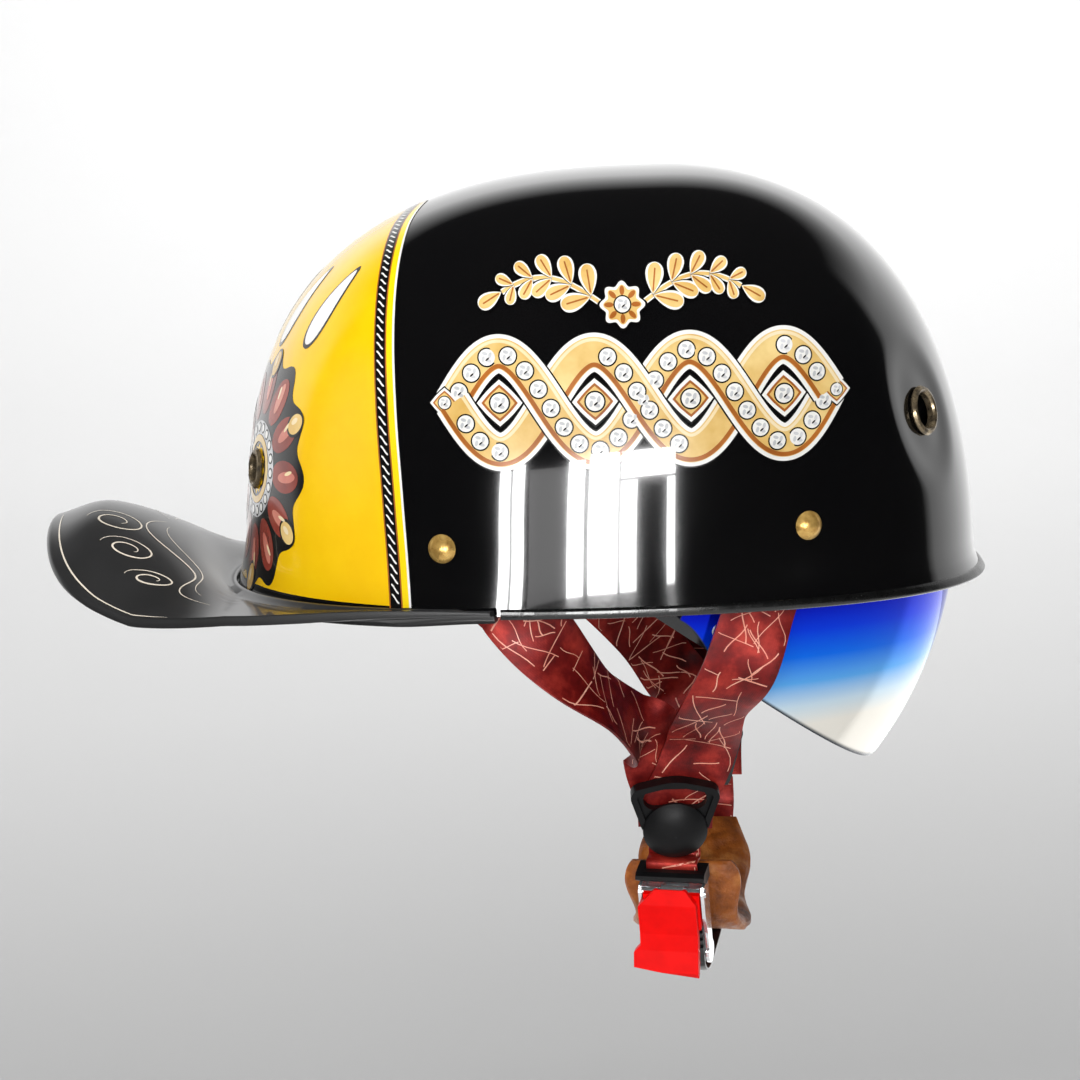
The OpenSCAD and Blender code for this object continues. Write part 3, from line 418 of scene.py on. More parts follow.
def paint(name, a, b):
    return plain(name, a, b, 0.22, 60, 500, 0.015, 0.8, rvar=0.03)


M = {
    "shell": plain("shell_gloss", (0.0022, 0.0022, 0.0026), (0.0036, 0.0034, 0.0036), 0.1, 12, 260, 0.012,
                   coat=1.0, rvar=0.03),
    # The bill is black; its dark grey, lighter than the shell's, is a painted reflection of the pale room on
    # its top.
    "brim": plain("brim_gloss", (0.015,) * 3, (0.027, 0.027, 0.028), 0.36, 20, 300, 0.02, 0.55, rvar=0.04,
                  spec=0.8),
    "rubber": plain("trim_rubber", (0.003,) * 3, (0.006,) * 3, 0.27, 300, 1600, 0.08, 0.3),
    "foam": plain("liner_foam", (0.02, 0.02, 0.022), (0.045, 0.045, 0.048), 0.85, 500, 420, 0.6),
    "plastic": plain("moulded_plastic", (0.008, 0.008, 0.009), (0.016, 0.016, 0.017), 0.32, 200, 1500, 0.12),
    "gloss_plastic": plain("gloss_plastic", (0.006, 0.006, 0.007), (0.012, 0.012, 0.013), 0.2, 160, 900, 0.06,
                           coat=0.3),
    "satin": plain("satin_plastic", (0.003, 0.003, 0.0035), (0.006, 0.006, 0.0065), 0.46, 160, 1800,
                   spec=0.14),
    "red": plain("lever_plastic", srgb(240, 0, 0), srgb(255, 4, 2), 0.45, 120, 1100, 0.05, spec=0.08),
    "steel": plain("polished_steel", (0.62, 0.63, 0.65), (0.8, 0.8, 0.82), 0.14, 400, 700, 0.05, metal=0.8),
    "dark_steel": plain("dark_screws", (0.08, 0.08, 0.085), (0.16, 0.16, 0.17), 0.35, 500, metal=1.0),
    "bronze": plain("dark_bronze", srgb(70, 62, 52), srgb(164, 146, 116), 0.28, 420, 900, 0.15, metal=0.7),
    "brass": plain("antique_brass", srgb(176, 132, 62), srgb(232, 192, 110), 0.3, 350, 700, metal=0.55),
    "nylon": plain("white_nylon", (0.6, 0.6, 0.56), (0.72, 0.72, 0.68), 0.4),
    "yellow": paint("yellow_paint", srgb(250, 196, 0), srgb(255, 206, 6)),
    "bright": paint("bright_yellow", srgb(255, 218, 6), srgb(255, 226, 24)),
    "white": paint("white_paint", srgb(238, 236, 230), srgb(250, 249, 246)),
    "black": paint("black_paint", (0.003,) * 3, (0.007, 0.006, 0.006)),
    "gold": paint("gold_paint", srgb(214, 168, 84), srgb(246, 216, 146)),
    "cream": paint("cream_paint", srgb(240, 214, 160), srgb(250, 234, 200)),
    "brown": paint("orange_brown", srgb(150, 84, 30), srgb(190, 112, 46)),
    "maroon": paint("red_brown", srgb(120, 44, 34), srgb(164, 70, 54)),
    "pink": paint("pale_red", srgb(196, 104, 88), srgb(224, 150, 130)),
    "silver": paint("silver_paint", srgb(176, 178, 180), srgb(226, 226, 228)),
    "stripe": plain("pinstripe_paint", srgb(200, 192, 176), srgb(226, 216, 200), 0.3, 60, 500, 0.02, 0.6),
}

# Decals: thin conforming sheets of vertices, faces, normals and a vertex count, gathered by colour
PAINTS = "yellow bright white black gold cream brown maroon pink silver stripe".split()
PAINT = {key: [[], [], [], 0] for key in PAINTS}


def lay(colour, p, normals, flip=False):
    """Adds a grid of points to the sheet of its colour."""
    r, c = p.shape[:2]
    s = PAINT[colour]
    f = cells(r, c, s[3], flip=flip)
    a = p.reshape(-1, 3)
    q = array(f[len(f) // 2]) - s[3]
    face = cross(a[q[1]] - a[q[0]], a[q[2]] - a[q[0]])
    if face @ normals.reshape(-1, 3)[q[0]] < 0:
        f = [x[::-1] for x in f]
    s[0].append(a)
    s[1].extend(f)
    s[2].append(normals.reshape(-1, 3))
    s[3] += r * c


def on_skin(colour, phi, h, lift):
    lay(colour, skin(phi, h, -lift), dome_n(phi, h))


def on_dome(colour, p, lift):
    on_skin(colour, *foot(p), lift)


def on_side(colour, x, z, lift, side):
    """Lays a grid of side-view points on one side of the shell."""
    f = find_phi(x, side_level(z))
    p, n = at_z(f, z, -lift), dome_n(f, level(f, z))
    k = array([1, side, 1])
    lay(colour, p * k, n * k)


def stroke2(x, z, w, across=3):
    """A flat stroke's grid round a centre line."""
    d = unit(stack([gradient(x), gradient(z)], -1))
    v = linspace(-0.5, 0.5, across)
    return x[:, None] - d[:, 1:2] * v * w, z[:, None] + d[:, 0:1] * v * w


def disc2(cx, cz, r, a=1.0, b=1.0, turn=0.0, n=24, rings=3, inner=0.0):
    """A filled ellipse, ring or lobed shape; r may be a function of the angle."""
    t = linspace(0, 2 * pi, n + 1)
    rad = r(t) if callable(r) else r
    k = linspace(inner, 1, rings + 1)[:, None]
    x, z = rad * cos(t) * a * k, rad * sin(t) * b * k
    c, s = cos(turn), sin(turn)
    return cx + x * c - z * s, cz + x * s + z * c


def dot(cx, cz, r, a=1.0, b=1.0, turn=0.0, n=14):
    return disc2(cx, cz, r, a, b, turn, n, 1)


def polar(r, a, flat=1.0, at=(0, 0)):
    return at[0] + r * cos(a), at[1] + r * flat * sin(a)


# Shell
def rim_rows(t):
    return [rim_at(phis, 0, t)] + [at_z(phis, rim_z(phis) + dz, t) for dz in (3, 6.5)]


phis = arange(-180, 180, 1.0)
outer = rim_rows(0) + [skin(phis, h, scoop(dome(phis, h))) for h in levels(112, 0.075, 1.6)]
inner = rim_rows(WALL) + [skin(phis, h, WALL) for h in levels(40, 0.1, 1.6)]
sv, sf = cap(array(outer), CROWN, array(inner), CROWN - [0, 0, WALL])
sv, sf = pierce(sv, sf, vent_holes((0, 7.0, 12), (0, 5.7, 10)))
make("shell_skin", sv, sf, M["shell"], ["outer_shell"], angle=50)

# Bill: the tip's X, the root's half width, the corner between its tip and side, the width of its foot
X0, ROOT = XM - 197.0, HALF + 0.4
CORNER, FOOT_W = [X0 + 21, 63.5], 1.6


def bez(a, b, c, d, t):
    a, b, c, d = (array(q, float) for q in (a, b, c, d))
    t = array(t, float)[..., None]
    return a * (1 - t) ** 3 + b * 3 * t * (1 - t) ** 2 + c * 3 * t * t * (1 - t) + d * t ** 3


def brim_edge(s):
    """The bill's outline in plan, from the middle of its tip at 0 to its root at 1."""
    s = abs(array(s, float))
    one = bez([X0, 0], [X0, 30], [X0 + 5, 54.5], CORNER, s * 2)
    two = bez(CORNER, [X0 + 47, 78.1], [-90, ROOT - 12], [-42, ROOT], s * 2 - 1)
    return where((s < 0.5)[..., None], one, two)


def brim_z(x, y):
    """The bill's top: a ridge along its middle that arches down to its sides, with a drooping tip."""
    u = clip((XM - REAR - 1 - x) / 60, 0, 1)
    droop = 6 * smooth(-180, -206, x)
    ridge = 1.5 + 28.5 * (1 - (1 - u) ** 1.95) - droop
    k = clip((x + 164) / 120, 0, 1)
    side = mix(0.6, 3, k) + 2.2 * smooth(-135, -75, x) - droop
    w = mix(69, 109, k) - 0.02 * maximum(-164 - x, 0)
    v = minimum(abs(y) / w, 1.1)
    return side + (ridge - side) * (1 - v * v)


def brim_rows(s):
    s = array(s, float)
    phi = 180 + s * 75
    e = brim_edge(s)
    e = stack([e[..., 0], -sign(s) * e[..., 1]], -1)
    a, b = rim_at(phi, 0, -GAP), rim_at(phi, 0, -GAP - FOOT_W)
    w = norm(e - b[..., :2], axis=-1)
    return phi, a, b, e, w


def brim_top(s, u):
    phi, a, b, e, w = brim_rows(s)
    xy = mix(b[..., :2], e, array(u)[..., None])
    k = clip(1 - u / 0.22, 0, 1) ** 2
    z = mix(brim_z(xy[..., 0], xy[..., 1]), rim_z(phi) + 0.4, k)
    return concatenate([xy, z[..., None]], -1)


ss = linspace(-1, 1, 241)
phi_b, a_b, b_b, e_b, w_b = brim_rows(ss)
g = minimum(1, w_b / 12)[:, None]
up = array([0, 0, 1.0])
T = mix(1.8, 3.4, smooth(0, 36, w_b))[:, None]
pts = [rim_at(phi_b, -0.2, WALL), rim_at(phi_b, -0.2, 0.2), rim_at(phi_b, -0.2, -GAP), a_b + up * g * 1.9,
       mix(a_b, b_b, 0.2) + up * g * 2.45, mix(a_b, b_b, 0.55) + up * g * 2.6, b_b + up * g * 2.1]
rad = minimum(T[:, 0] / 2, w_b * 0.35)
us = concatenate([[0.03, 0.07, 0.12, 0.17], linspace(0.22, 1, 26)])
end = 1 - rad / w_b
tops = [brim_top(ss, u * end) for u in us]
pts += tops
mid_e = tops[-1] - up * T / 2
out_dir = concatenate([(e_b - b_b[:, :2]) / w_b[:, None], np.zeros((len(ss), 1))], 1)
for t in np.radians([25, 50, 75, 90, 105, 130, 155]):
    pts.append(mid_e + out_dir * (rad * sin(t))[:, None] + up * (T / 2 * cos(t)))
pts += [q - up * T for q in tops[::-1]]
pts += [b_b * 1.5 - a_b / 2 - up * T, (a_b + b_b) / 2 - up * T]
pts += [rim_at(phi_b, -T[:, 0], t) for t in (0, 0.2, WALL - 0.3)]
bv, bf = loops(stack(pts, 1))
make("bill", bv, bf, M["brim"], ["brim"], angle=60)


def on_brim(colour, s, u, w, lift=0.14):
    """A painted line on the bill through [s, u] stations, w wide."""
    p = brim_top(s, u)
    t = unit(gradient(p, axis=0))
    across = brim_top(s + 0.01, u) - brim_top(s - 0.01, u)
    out_way = brim_top(s, u + 0.01) - brim_top(s, u - 0.01)
    n = unit(cross(across, out_way))
    n = n * sign(n[:, 2:3])
    side = unit(cross(n, t))
    grid = stack([p + side * w[:, None] * k + n * lift for k in (-0.5, 0, 0.5)], 1)
    lay(colour, grid, stack([n] * 3, 1))


# Scroll lines: one along the edge, three curls and two waves on each half
t, q = span(90), span(80)
swell, curl = sin(pi * t), mix(0.3, 1.9, q) * 2 * pi
edge_w = 0.5 * sin(pi * clip(t * 1.02, 0, 1)) ** 0.4 + 0.1
for sg in (-1, 1):
    on_brim("stripe", sg * mix(0.03, 0.62, t), full(t.shape, 0.93), edge_w)
    for k in range(3):
        c_s, c_u, r = 0.12 + 0.12 * k, 0.62 - 0.04 * k, (0.17 - 0.02 * k) * (1 - 0.75 * q)
        curl_w = 0.25 + 0.5 * sin(pi * q)
        on_brim("stripe", sg * (c_s + 0.32 * r * cos(curl)), c_u + r * sin(curl), curl_w)
    on_brim("stripe", sg * mix(0.02, 0.5, t), 0.36 + 0.1 * sin(t * 9), 0.15 + 0.55 * swell)
    on_brim("stripe", sg * mix(0.05, 0.42, t), 0.28 + 0.07 * sin(t * 7 + 1), 0.1 + 0.4 * swell)

# Beading: its outer leg, its round under the rim, its inner leg and the groove that grips the rim
fs = concatenate([[-104.3], arange(-103.5, 103.6, 1.5), [104.3]])
z3, tt = rim_z(fs) + 2.25, 1 - 0.45 * smooth(97, 104.3, abs(fs))
prof = [at_z(fs, z3 + dz, t) for dz, t in ((0, -0.1), (0.05, -0.45 * tt), (-0.3, -0.85 * tt), (-0.8, -tt))]
prof += [rim_at(fs, dz, t) for dz, t in ((-0.2, -tt), (-0.65, -0.85 * tt), (-1.05, -0.4), (-1.2, 0.2))]
prof += [rim_at(fs, dz, WALL + t) for dz, t in ((-1.2, -0.2), (-1.05, 0.4), (-0.65, 0.85), (-0.2, 1))]
prof += [at_z(fs, z3 + dz, WALL + t) for dz, t in ((-0.8, 1), (-0.2, 0.8), (0, 0.1), (-0.3, 0.1))]
prof += [rim_at(fs, -0.1, WALL + 0.1), rim_at(fs, -0.1, -0.1), at_z(fs, z3 - 0.3, -0.1)]
tv, tf = loops(stack(prof, 1))
make("beading", tv, tf, M["rubber"], ["rim_trim"], angle=45)

# Liner: how far its inside lies under the skin at its foot and at the crown
LINER_FOOT, LINER_CROWN = 28.5, 26


def liner_out(phi, h):
    a = abs(where(phi > 180, phi - 360, phi))
    side = where(a < 80, 9.9 + 7.4 * abs(sind(1.5 * a)) ** 2, 15.45)
    low = mix(side, WALL + GAP + 0.6, smooth(112, 132, a))
    return mix(low, WALL + GAP + 0.6, smooth(0.74, 0.95, h))


def liner_in(h):
    return mix(LINER_FOOT, LINER_CROWN, smooth(0.6, 1, h))


lp = arange(0, 360, 3.0)
ups = levels(40, 0.035, 1.7)
outer = array([skin(lp, h, liner_out(lp, h)) for h in ups])
inner = array([skin(lp, h, liner_in(h)) for h in ups])
fv, ff = cap(outer, CROWN - [0, 0, WALL + 0.9], inner, CROWN - [0, 0, LINER_CROWN])
fv, ff = pierce(fv, ff, vent_holes((20, 5.2, 26), (18, 4.6, 24)))
make("foam_body", fv, ff, M["foam"],
     ["foam_liner_right", "foam_liner_left", "foam_liner_rear"], angle=45)


# Cushions
def cloth_mat(name, a, b, cell):
    m, n, l, p = new_mat(name)
    f = noise(n, l, 160, 5)
    tone(n, l, p, "Base Color", f, [(0.3, a), (0.7, b)])
    fill(p, {"Roughness": 0.9, "Sheen Weight": 0.4})
    c1 = bump(n, l, p, cell_pattern(n, l, 1 / cell), 0.5, 0.0005)
    bump(n, l, p, f, 0.3, 0.0008, c1)
    return m


M["cloth"] = cloth_mat("pad_cloth_knit", srgb(62, 40, 30), srgb(96, 64, 48), 0.0011)


def liner_pad(name, f0, f1, h0, h1, nf, nh, node, seams):
    """A crowned cushion on the liner between two plan angles and two levels, with sewn channels."""
    i, j = mesh(span(nf + 1), span(nh + 1))
    h, f = mix(h0, h1, j), mix(f0, f1, i)
    seat = liner_in(h) + GAP + 0.1
    a, b = 2 * i - 1, 2 * j - 1
    k = sqrt(maximum((1 - a ** 4) * (1 - b ** 4), 0))
    sew = np.ones(k.shape)
    for s in seams:
        sew -= 0.55 * exp(-((a - s) / 0.035) ** 2)
    rim = exp(-((maximum(abs(a), abs(b)) - 0.86) / 0.03) ** 2)
    t = mix(1, 4, smooth(0, 0.3, k)) + 3.2 * k * sew - 0.6 * rim * (k > 0)
    v, q = slab(skin(f, h, seat), skin(f, h, seat + maximum(t, 0.8)))
    o = make(name, v, q, M["cloth"], [node], angle=70)


liner_pad("brow_cushion", -46, 46, 0.03, 0.27, 72, 20, "brow_pad", (-0.5, 0, 0.5))
liner_pad("side_cushion_right", -62, -118, 0.05, 0.42, 48, 28, "side_pad_right", (0,))
liner_pad("side_cushion_left", 62, 118, 0.05, 0.42, 48, 28, "side_pad_left", (0,))
liner_pad("rear_cushion", 140, 220, 0.03, 0.36, 64, 26, "rear_pad", (-0.4, 0.4))


def ring(h, t):
    return skin(lp, h, t)


# The crown cushion lies on the liner round its middle, and its quilting fades towards the crown
CROWN_LOW, CROWN_HIGH = levels(11, 0.035, 1.7)[9:11]
top = array([ring(h, liner_in(h) + GAP) for h in linspace(CROWN_LOW, CROWN_HIGH, 4)])
low = []
for i in linspace(0, 4, 25):
    h = min(mix(CROWN_LOW, 0.998, sqrt(i / 4)), 0.998)
    quilt = 1.2 * abs(sind(1.5 * lp)) ** 0.5 * smooth(0, 2, i) * (1 - i / 5)
    low.append(ring(h, liner_in(h) + GAP + mix(2.5, 8.8, smooth(0, 2.4, i)) + quilt))
cv, cf = cap(top, CROWN - [0, 0, LINER_CROWN + GAP], array(low), SEAT)
o = make("crown_cushion", cv, outward(cv, cf), M["cloth"], ["crown_pad"], angle=70)


# Lens and its arms
def lens_spot(rho, y, th):
    return stack([PIVOT[0] + rho * cosd(th), y, PIVOT[2] + rho * sind(th)], -1)


def lens_sweep(u, th, inset):
    a, b = LENS_R - inset, LENS_W - inset
    w = u * acos((LENS_END / a) ** (LENS_N / 2))
    return lens_spot(a * abs(cos(w)) ** (2 / LENS_N), b * spow(sin(w), 2 / LENS_N), th)


def lens_pt(rho, th, inset):
    """The lens's surface by the distance from the pivots, which its arms follow."""
    rho, th = arr(rho, th)
    y = (LENS_W - inset) * maximum(1 - (rho / (LENS_R - inset)) ** LENS_N, 0) ** (1 / LENS_N)
    return lens_spot(rho, y, th)


# The lower edge has a nose cut-out in its middle and rises to its ends
u, j = mesh(linspace(-1, 1, 181), span(41))
NOSE_RISE, NOSE_HALF, END_RISE = 7 / LENS_R * 180 / pi, 0.14, 9
low_th = -LENS_LOW + NOSE_RISE / (1 + (u / NOSE_HALF) ** 4) + END_RISE * smooth(0.86, 1, abs(u))
th = mix(low_th, LENS_TOP, j)
lens_v, lens_f = slab(lens_sweep(u, th, 0), lens_sweep(u, th, LENS_T))
lens_m, n, l, p = new_mat("mirror_tint_and_reflection")
depth = shader(n, "Math", {1: 0.06}, operation="MULTIPLY_ADD")
l.new(noise(n, l, 8, 2), depth.inputs[0])
l.new(attribute(n, "drop"), depth.inputs[2])
# The tint runs from the blue mirror coating at the top to a near-white lower part, which is a painted
# reflection of the pale floor on the clear glass.
TINT_AND_REFLECTION = [(0.0, srgb(252, 248, 238)), (0.36, srgb(246, 242, 232)), (0.47, srgb(206, 228, 242)),
        (0.6, srgb(92, 172, 242)), (0.74, srgb(8, 108, 238)), (0.88, srgb(0, 58, 226)),
        (1.0, srgb(0, 24, 204))]
rim_line = shader(n, "Mix", {7: (*srgb(60, 66, 74), 1)}, data_type="RGBA")
l.new(ramp(n, l, attribute(n, "edge"), [(0.006, 1), (0.02, 0)]), rim_line.inputs[0])
l.new(ramp(n, l, depth.outputs[0], TINT_AND_REFLECTION), rim_line.inputs[6])
l.new(rim_line.outputs[2], p.inputs["Base Color"])
tone(n, l, p, "Alpha", depth.outputs[0], [(0.0, 0.86), (0.3, 0.9), (0.6, 0.98)])
fill(p, {"Roughness": 0.04, "Metallic": 0.5, "Specular IOR Level": 0.1})
bump(n, l, p, noise(n, l, 18, 2), 0.01, 0.001)
drop = clip(1 - lens_v[:, 2] / lens_v[:, 2].min(), 0, 1)
make("tinted_lens", lens_v, lens_f, lens_m, ["visor_lens"], angle=50, body="visor",
     attrs={"drop": drop, "edge": np.tile(j.ravel(), 2)})

ARM_T, HUB_T, HUB_TURN = 2.4, 0.2, 96
arm_in = LENS_T + GAP
hub_y = LENS_W - arm_in - ARM_T - HUB_T
i, j = mesh(span(61), span(61))
rho = mix(7, 76, i)
th = mix(-36 + 60 / rho, 0, j)
t = linspace(0, 2 * pi, HUB_TURN + 1)[:-1]
windows = []
for c, a, r in ((35, radians(-18.5), 5), (51.5, radians(-18), 5.6)):
    windows.append((PIVOT + [c * cos(a), 0, c * sin(a)], array([0, 1.0, 0]), r, 200))
for s, side in ((-1, "right"), (1, "left")):
    k = array([1, s, 1])
    arm_v, arm_f = pierce(*slab(lens_pt(rho, th, arm_in) * k, lens_pt(rho, th, arm_in + ARM_T) * k), windows)
    hub = [[PIVOT[0] + r * cos(t), s * (hub_y + y) + 0 * t, PIVOT[2] + r * sin(t)]
           for r, y in ((4.05, 0), (12.6, 0), (13, 0.4), (13, 2.2), (12.6, 2.6), (4.05, 2.6))]
    hub_v = np.moveaxis(array(hub), 1, 2).reshape(-1, 3)
    last = len(hub_v) - HUB_TURN
    hub_f = cells(len(hub), HUB_TURN, 0, True)
    hub_f += [[q, (q + 1) % HUB_TURN, last + (q + 1) % HUB_TURN, last + q] for q in range(HUB_TURN)]
    hub_f = [[x + len(arm_v) for x in q] for q in outward(hub_v, hub_f)]
    v, f = concatenate([arm_v, hub_v]), arm_f + hub_f
    make("lens_arm_" + side, v, f, M["gloss_plastic"], ["carrier_" + side], body="visor")


# Webbing
def on_wall(x, z, t, s):
    return at_z(find_phi(x, side_level(z)), z, t) * [1, s, 1]


def wall_dir(x, z, w, s):
    h = side_level(z)
    normal = dome_n(find_phi(x, h), h) * [1, s, 1]
    w = array(w, float)
    return unit(w - normal * (w @ normal))


# Dividers: their lean and places; layers of webbing in front of and behind their middle plate
TILT = radians(20)
DIV = {-1: array([19, -63, -75.5]), 1: array([36, 54, -84.0])}
WT = 1.5
Y1 = 3 / 2 + GAP + WT / 2
Y2 = Y1 + WT + GAP
WEB_IN = WALL + GAP + WT / 2 + 0.75


def div_frame(s, x, y, z):
    a, b = y * cos(TILT) - z * sin(TILT), y * sin(TILT) + z * cos(TILT)
    return DIV[s] + [x, -s * a, b]


def div_dir(s, x, z):
    return array([x, s * z * sin(TILT), z * cos(TILT)])


def wave(n, l, direction, scale, distortion, vec):
    w = shader(n, "TexWave", {"Scale": scale, "Distortion": distortion}, bands_direction=direction)
    l.new(vec, w.inputs["Vector"])
    return w.outputs["Fac"]


def web_mat(name, a, b, painted_highlight):
    """Satin webbing, whose weave follows its own run and cross attributes in millimetres."""
    m, n, l, p = new_mat(name)
    # The colour wanders in patches from a painted shade through the strap's red to a painted highlight, which
    # stand in for the light on the satin.
    tone(n, l, p, "Base Color", noise(n, l, 60, 6, 0.65), [(0.32, a), (0.5, b), (0.7, painted_highlight)])
    fill(p, {"Roughness": 0.42, "Metallic": 0.35, "Specular IOR Level": 0.25})
    cloth = shader(n, "CombineXYZ")
    l.new(attribute(n, "run"), cloth.inputs[0])
    l.new(attribute(n, "cross"), cloth.inputs[1])
    twill = bump(n, l, p, wave(n, l, "DIAGONAL", 0.9, 0.6, cloth.outputs[0]), 0.16, 0.0002)
    bump(n, l, p, wave(n, l, "Y", 0.45, 0.0, cloth.outputs[0]), 0.12, 0.0002, twill)
    return m


# Painted shade, the strap's red and a painted highlight
M["web"] = web_mat("satin_webbing", srgb(62, 6, 8), srgb(122, 20, 18), srgb(186, 56, 44))
M["scratch"] = plain("woven_lines", srgb(224, 134, 110), srgb(252, 190, 166), 0.45, scale=200)
LINE_V, LINE_F = [], []
LINE_STEPS, LINES_PER_CM, FULL_W = 7, 4.4, 25


def strip_path(points, wides, k):
    """A smooth path, its width's direction and its face's direction."""
    path, wide = along(points, k), along(wides, k)
    t = unit(gradient(path, axis=0))
    side = unit(wide - t * (wide * t).sum(-1, keepdims=True))
    return path, side, cross(t, side)


def woven_lines(path, side, normal, run, width):
    """Short pale lines at random places and angles on both faces of a webbing."""
    q = linspace(-0.5, 0.5, LINE_STEPS)
    for _ in range(int(run[-1] / 10 * LINES_PER_CM * width / FULL_W)):
        for face in (1, -1):
            along_at, cross_at = rng.uniform(2, run[-1] - 2), rng.uniform(-0.44, 0.44) * width
            ang, length = rng.uniform(0, pi), rng.uniform(6, 17)
            x = cross_at + q * length * sin(ang) + 0.6 * sin(q * 5)
            x = clip(x, -0.46 * width, 0.46 * width)
            r = clip(along_at + q * length * cos(ang), 0.5, run[-1] - 0.5)
            thick = rng.uniform(0.26, 0.5)
            grid = []
            for sg in (-1, 1):
                rr, xx = r + sg * -sin(ang) * thick / 2, x + sg * cos(ang) * thick / 2
                lifted = unit(pick(rr, run, normal)) * face * (WT / 2 + 0.06)
                grid.append(pick(rr, run, path) + unit(pick(rr, run, side)) * xx[:, None] + lifted)
            LINE_F.extend(cells(LINE_STEPS, 2, 2 * LINE_STEPS * len(LINE_V), flip=face > 0))
            LINE_V.append(stack(grid, 1).reshape(-1, 3))


def webbing(name, points, wides, width, node, k=12, lines=True, mat=None):
    """A flat strap with rounded edges along a smooth path; wides give its width's direction at each point."""
    path, side, normal = strip_path(points, wides, k)
    run = run_of(path)
    xs = linspace(-1, 1, 15)
    edge = WT / 2 * (1 - 0.45 * smooth(0.86, 1, abs(xs)))
    px = clip(concatenate([xs, [1.008], xs[::-1], [-1.008]]) * width / 2, -width / 2, width / 2)
    py = concatenate([edge, [0], -edge[::-1], [0]])
    v, f = loops(path[:, None] + side[:, None] * px[None, :, None] + normal[:, None] * py[None, :, None])
    attrs = {"run": np.repeat(run, len(px)), "cross": np.tile(px, len(path))}
    make(name, v, f, mat or M["web"], [node], angle=60, attrs=attrs)
    if lines:
        woven_lines(path, side, normal, run, width)


def gather(z):
    return min(max(z / 24, 0), 1)


def splay(z):
    return 0.07 * max(z - 13, 0)


FRONT_DIR, REAR_DIR = [0.8, 0, -0.6], [0.66, 0, 0.75]
FRONT_WALL = ((70.5, 38, 0), (63, 28, 0), (56, 18, 0.4))
REAR_WALL = ((-68, 34, 0), (-57, 24, 0), (-47, 15, 0.2), (-38, 7.5, 1.1))
DIVIDER_Z = (26, 14, 3, -8)
# For each side: where the front leg leaves the rim, its hanging points, their width directions and its offset
# at the divider and above it, then the rear leg's hanging points and width directions
LEGS = {
    -1: (48, [[39.5, -96.5, -20], [30.5, -86, -37]], [[0.97, 0.1, -0.2], [0.9, 0.34, -0.16]], (0.6, 9.4),
         [[-17, -97.5, -16], [-2.5, -89, -31], [7, -75.5, -43]],
         [[0.55, 0.62, 0.5], [0.3, 0.93, 0.2], [0.4, 0.88, 0.2], [0.88, 0.36, 0.26], [0.99, 0.03, 0.15]]),
    1: (49, [[46.5, 93.5, -26], [43, 75.5, -45.5]], [[0.98, 0, -0.15], [0.98, -0.05, -0.15]], (2, 4),
        [[-7, 96, -20], [14, 80.5, -39], [24, 64.5, -51.5]],
        [[0.7, 0, 0.7], [0.75, -0.1, 0.65], [0.82, -0.18, 0.55], div_dir(1, 1, 0.36), div_dir(1, 1, 0.15)]),
}
for s, (rim_x, front_mid, front_wide, offset, rear_mid, rear_wide) in LEGS.items():
    side = "right" if s < 0 else "left"
    points = [on_wall(x, z, WEB_IN + gap, s) for x, z, gap in FRONT_WALL + ((rim_x + 3, 8, 1.2),)]
    points += [on_wall(rim_x, 3, WEB_IN + 1.6, s) - [0, 0, 3]] + front_mid
    points += [div_frame(s, mix(*offset, gather(z)), Y1 - splay(z), z) for z in DIVIDER_Z]
    wides = [wall_dir(x, z, FRONT_DIR, s) for x, z, _ in FRONT_WALL]
    wides += [wall_dir(48, 8, [0.9, 0, -0.4], s), wall_dir(46, 5, [0.95, 0, -0.3], s)] + front_wide
    wides += [div_dir(s, 1, z) for z in (-0.18, -0.14, -0.05, 0)]
    webbing("web_front_" + side, points, wides, 25, "strap_front_" + side)
    points = [on_wall(x, z, WEB_IN + gap, s) for x, z, gap in REAR_WALL]
    points += [on_wall(-33, 4.4, WEB_IN + 1.5, s) - [0, 0, 3]] + rear_mid
    points += [div_frame(s, mix(0, -7, gather(z)), Y2 + splay(z), z) for z in DIVIDER_Z]
    wides = [wall_dir(x, z, REAR_DIR, s) for x, z, _ in REAR_WALL + ((-33, 4.4, 1.5),)] + rear_wide
    wides += [div_dir(s, 1, z) for z in (0.05, 0)]
    webbing("web_rear_" + side, points, wides, 25, "strap_rear_" + side)

# Buckle: its place, lean and turn
B_AT, B_TILT, B_YAW = array([18.33, -56.13, -93.88]), radians(14), radians(15)


def buckle_frame(p):
    x, y, z = p
    y, z = y * cos(B_TILT) - z * sin(B_TILT), y * sin(B_TILT) + z * cos(B_TILT)
    return B_AT + [x * cos(B_YAW) + y * sin(B_YAW), -x * sin(B_YAW) + y * cos(B_YAW), z]


webbing("web_buckle",
        [div_frame(-1, 0, Y1 - dy, z) for z, dy in ((-8.8, 0), (-13, 0), (-17, 0), (-20, 0.2))]
        + [buckle_frame([0, -2.4, z]) for z in (-0.7, -4.2, -7.4)],
        [[1, 0, 0]] * 3 + [[1, -0.1, 0], [1, -0.25, 0]] + [[1, -0.27, 0]] * 2, 18, "buckle_strap", k=6)
webbing("web_chin",
        [[28.8, -11, -132], [30.9, 0, -130.5], [33.3, 14, -127.8], [34.6, 29, -122.6], [34.9, 41, -115],
         [35.6, 47.2, -108.5], div_frame(1, 0, Y1, -18), div_frame(1, 0, Y1, -9)],
        [[1, -0.2, 0], [1, -0.15, 0], [1, -0.08, 0]] + [[1, 0, 0]] * 5, 22, "chin_strap")
make("web_lines", concatenate(LINE_V), LINE_F, M["scratch"], angle=60)

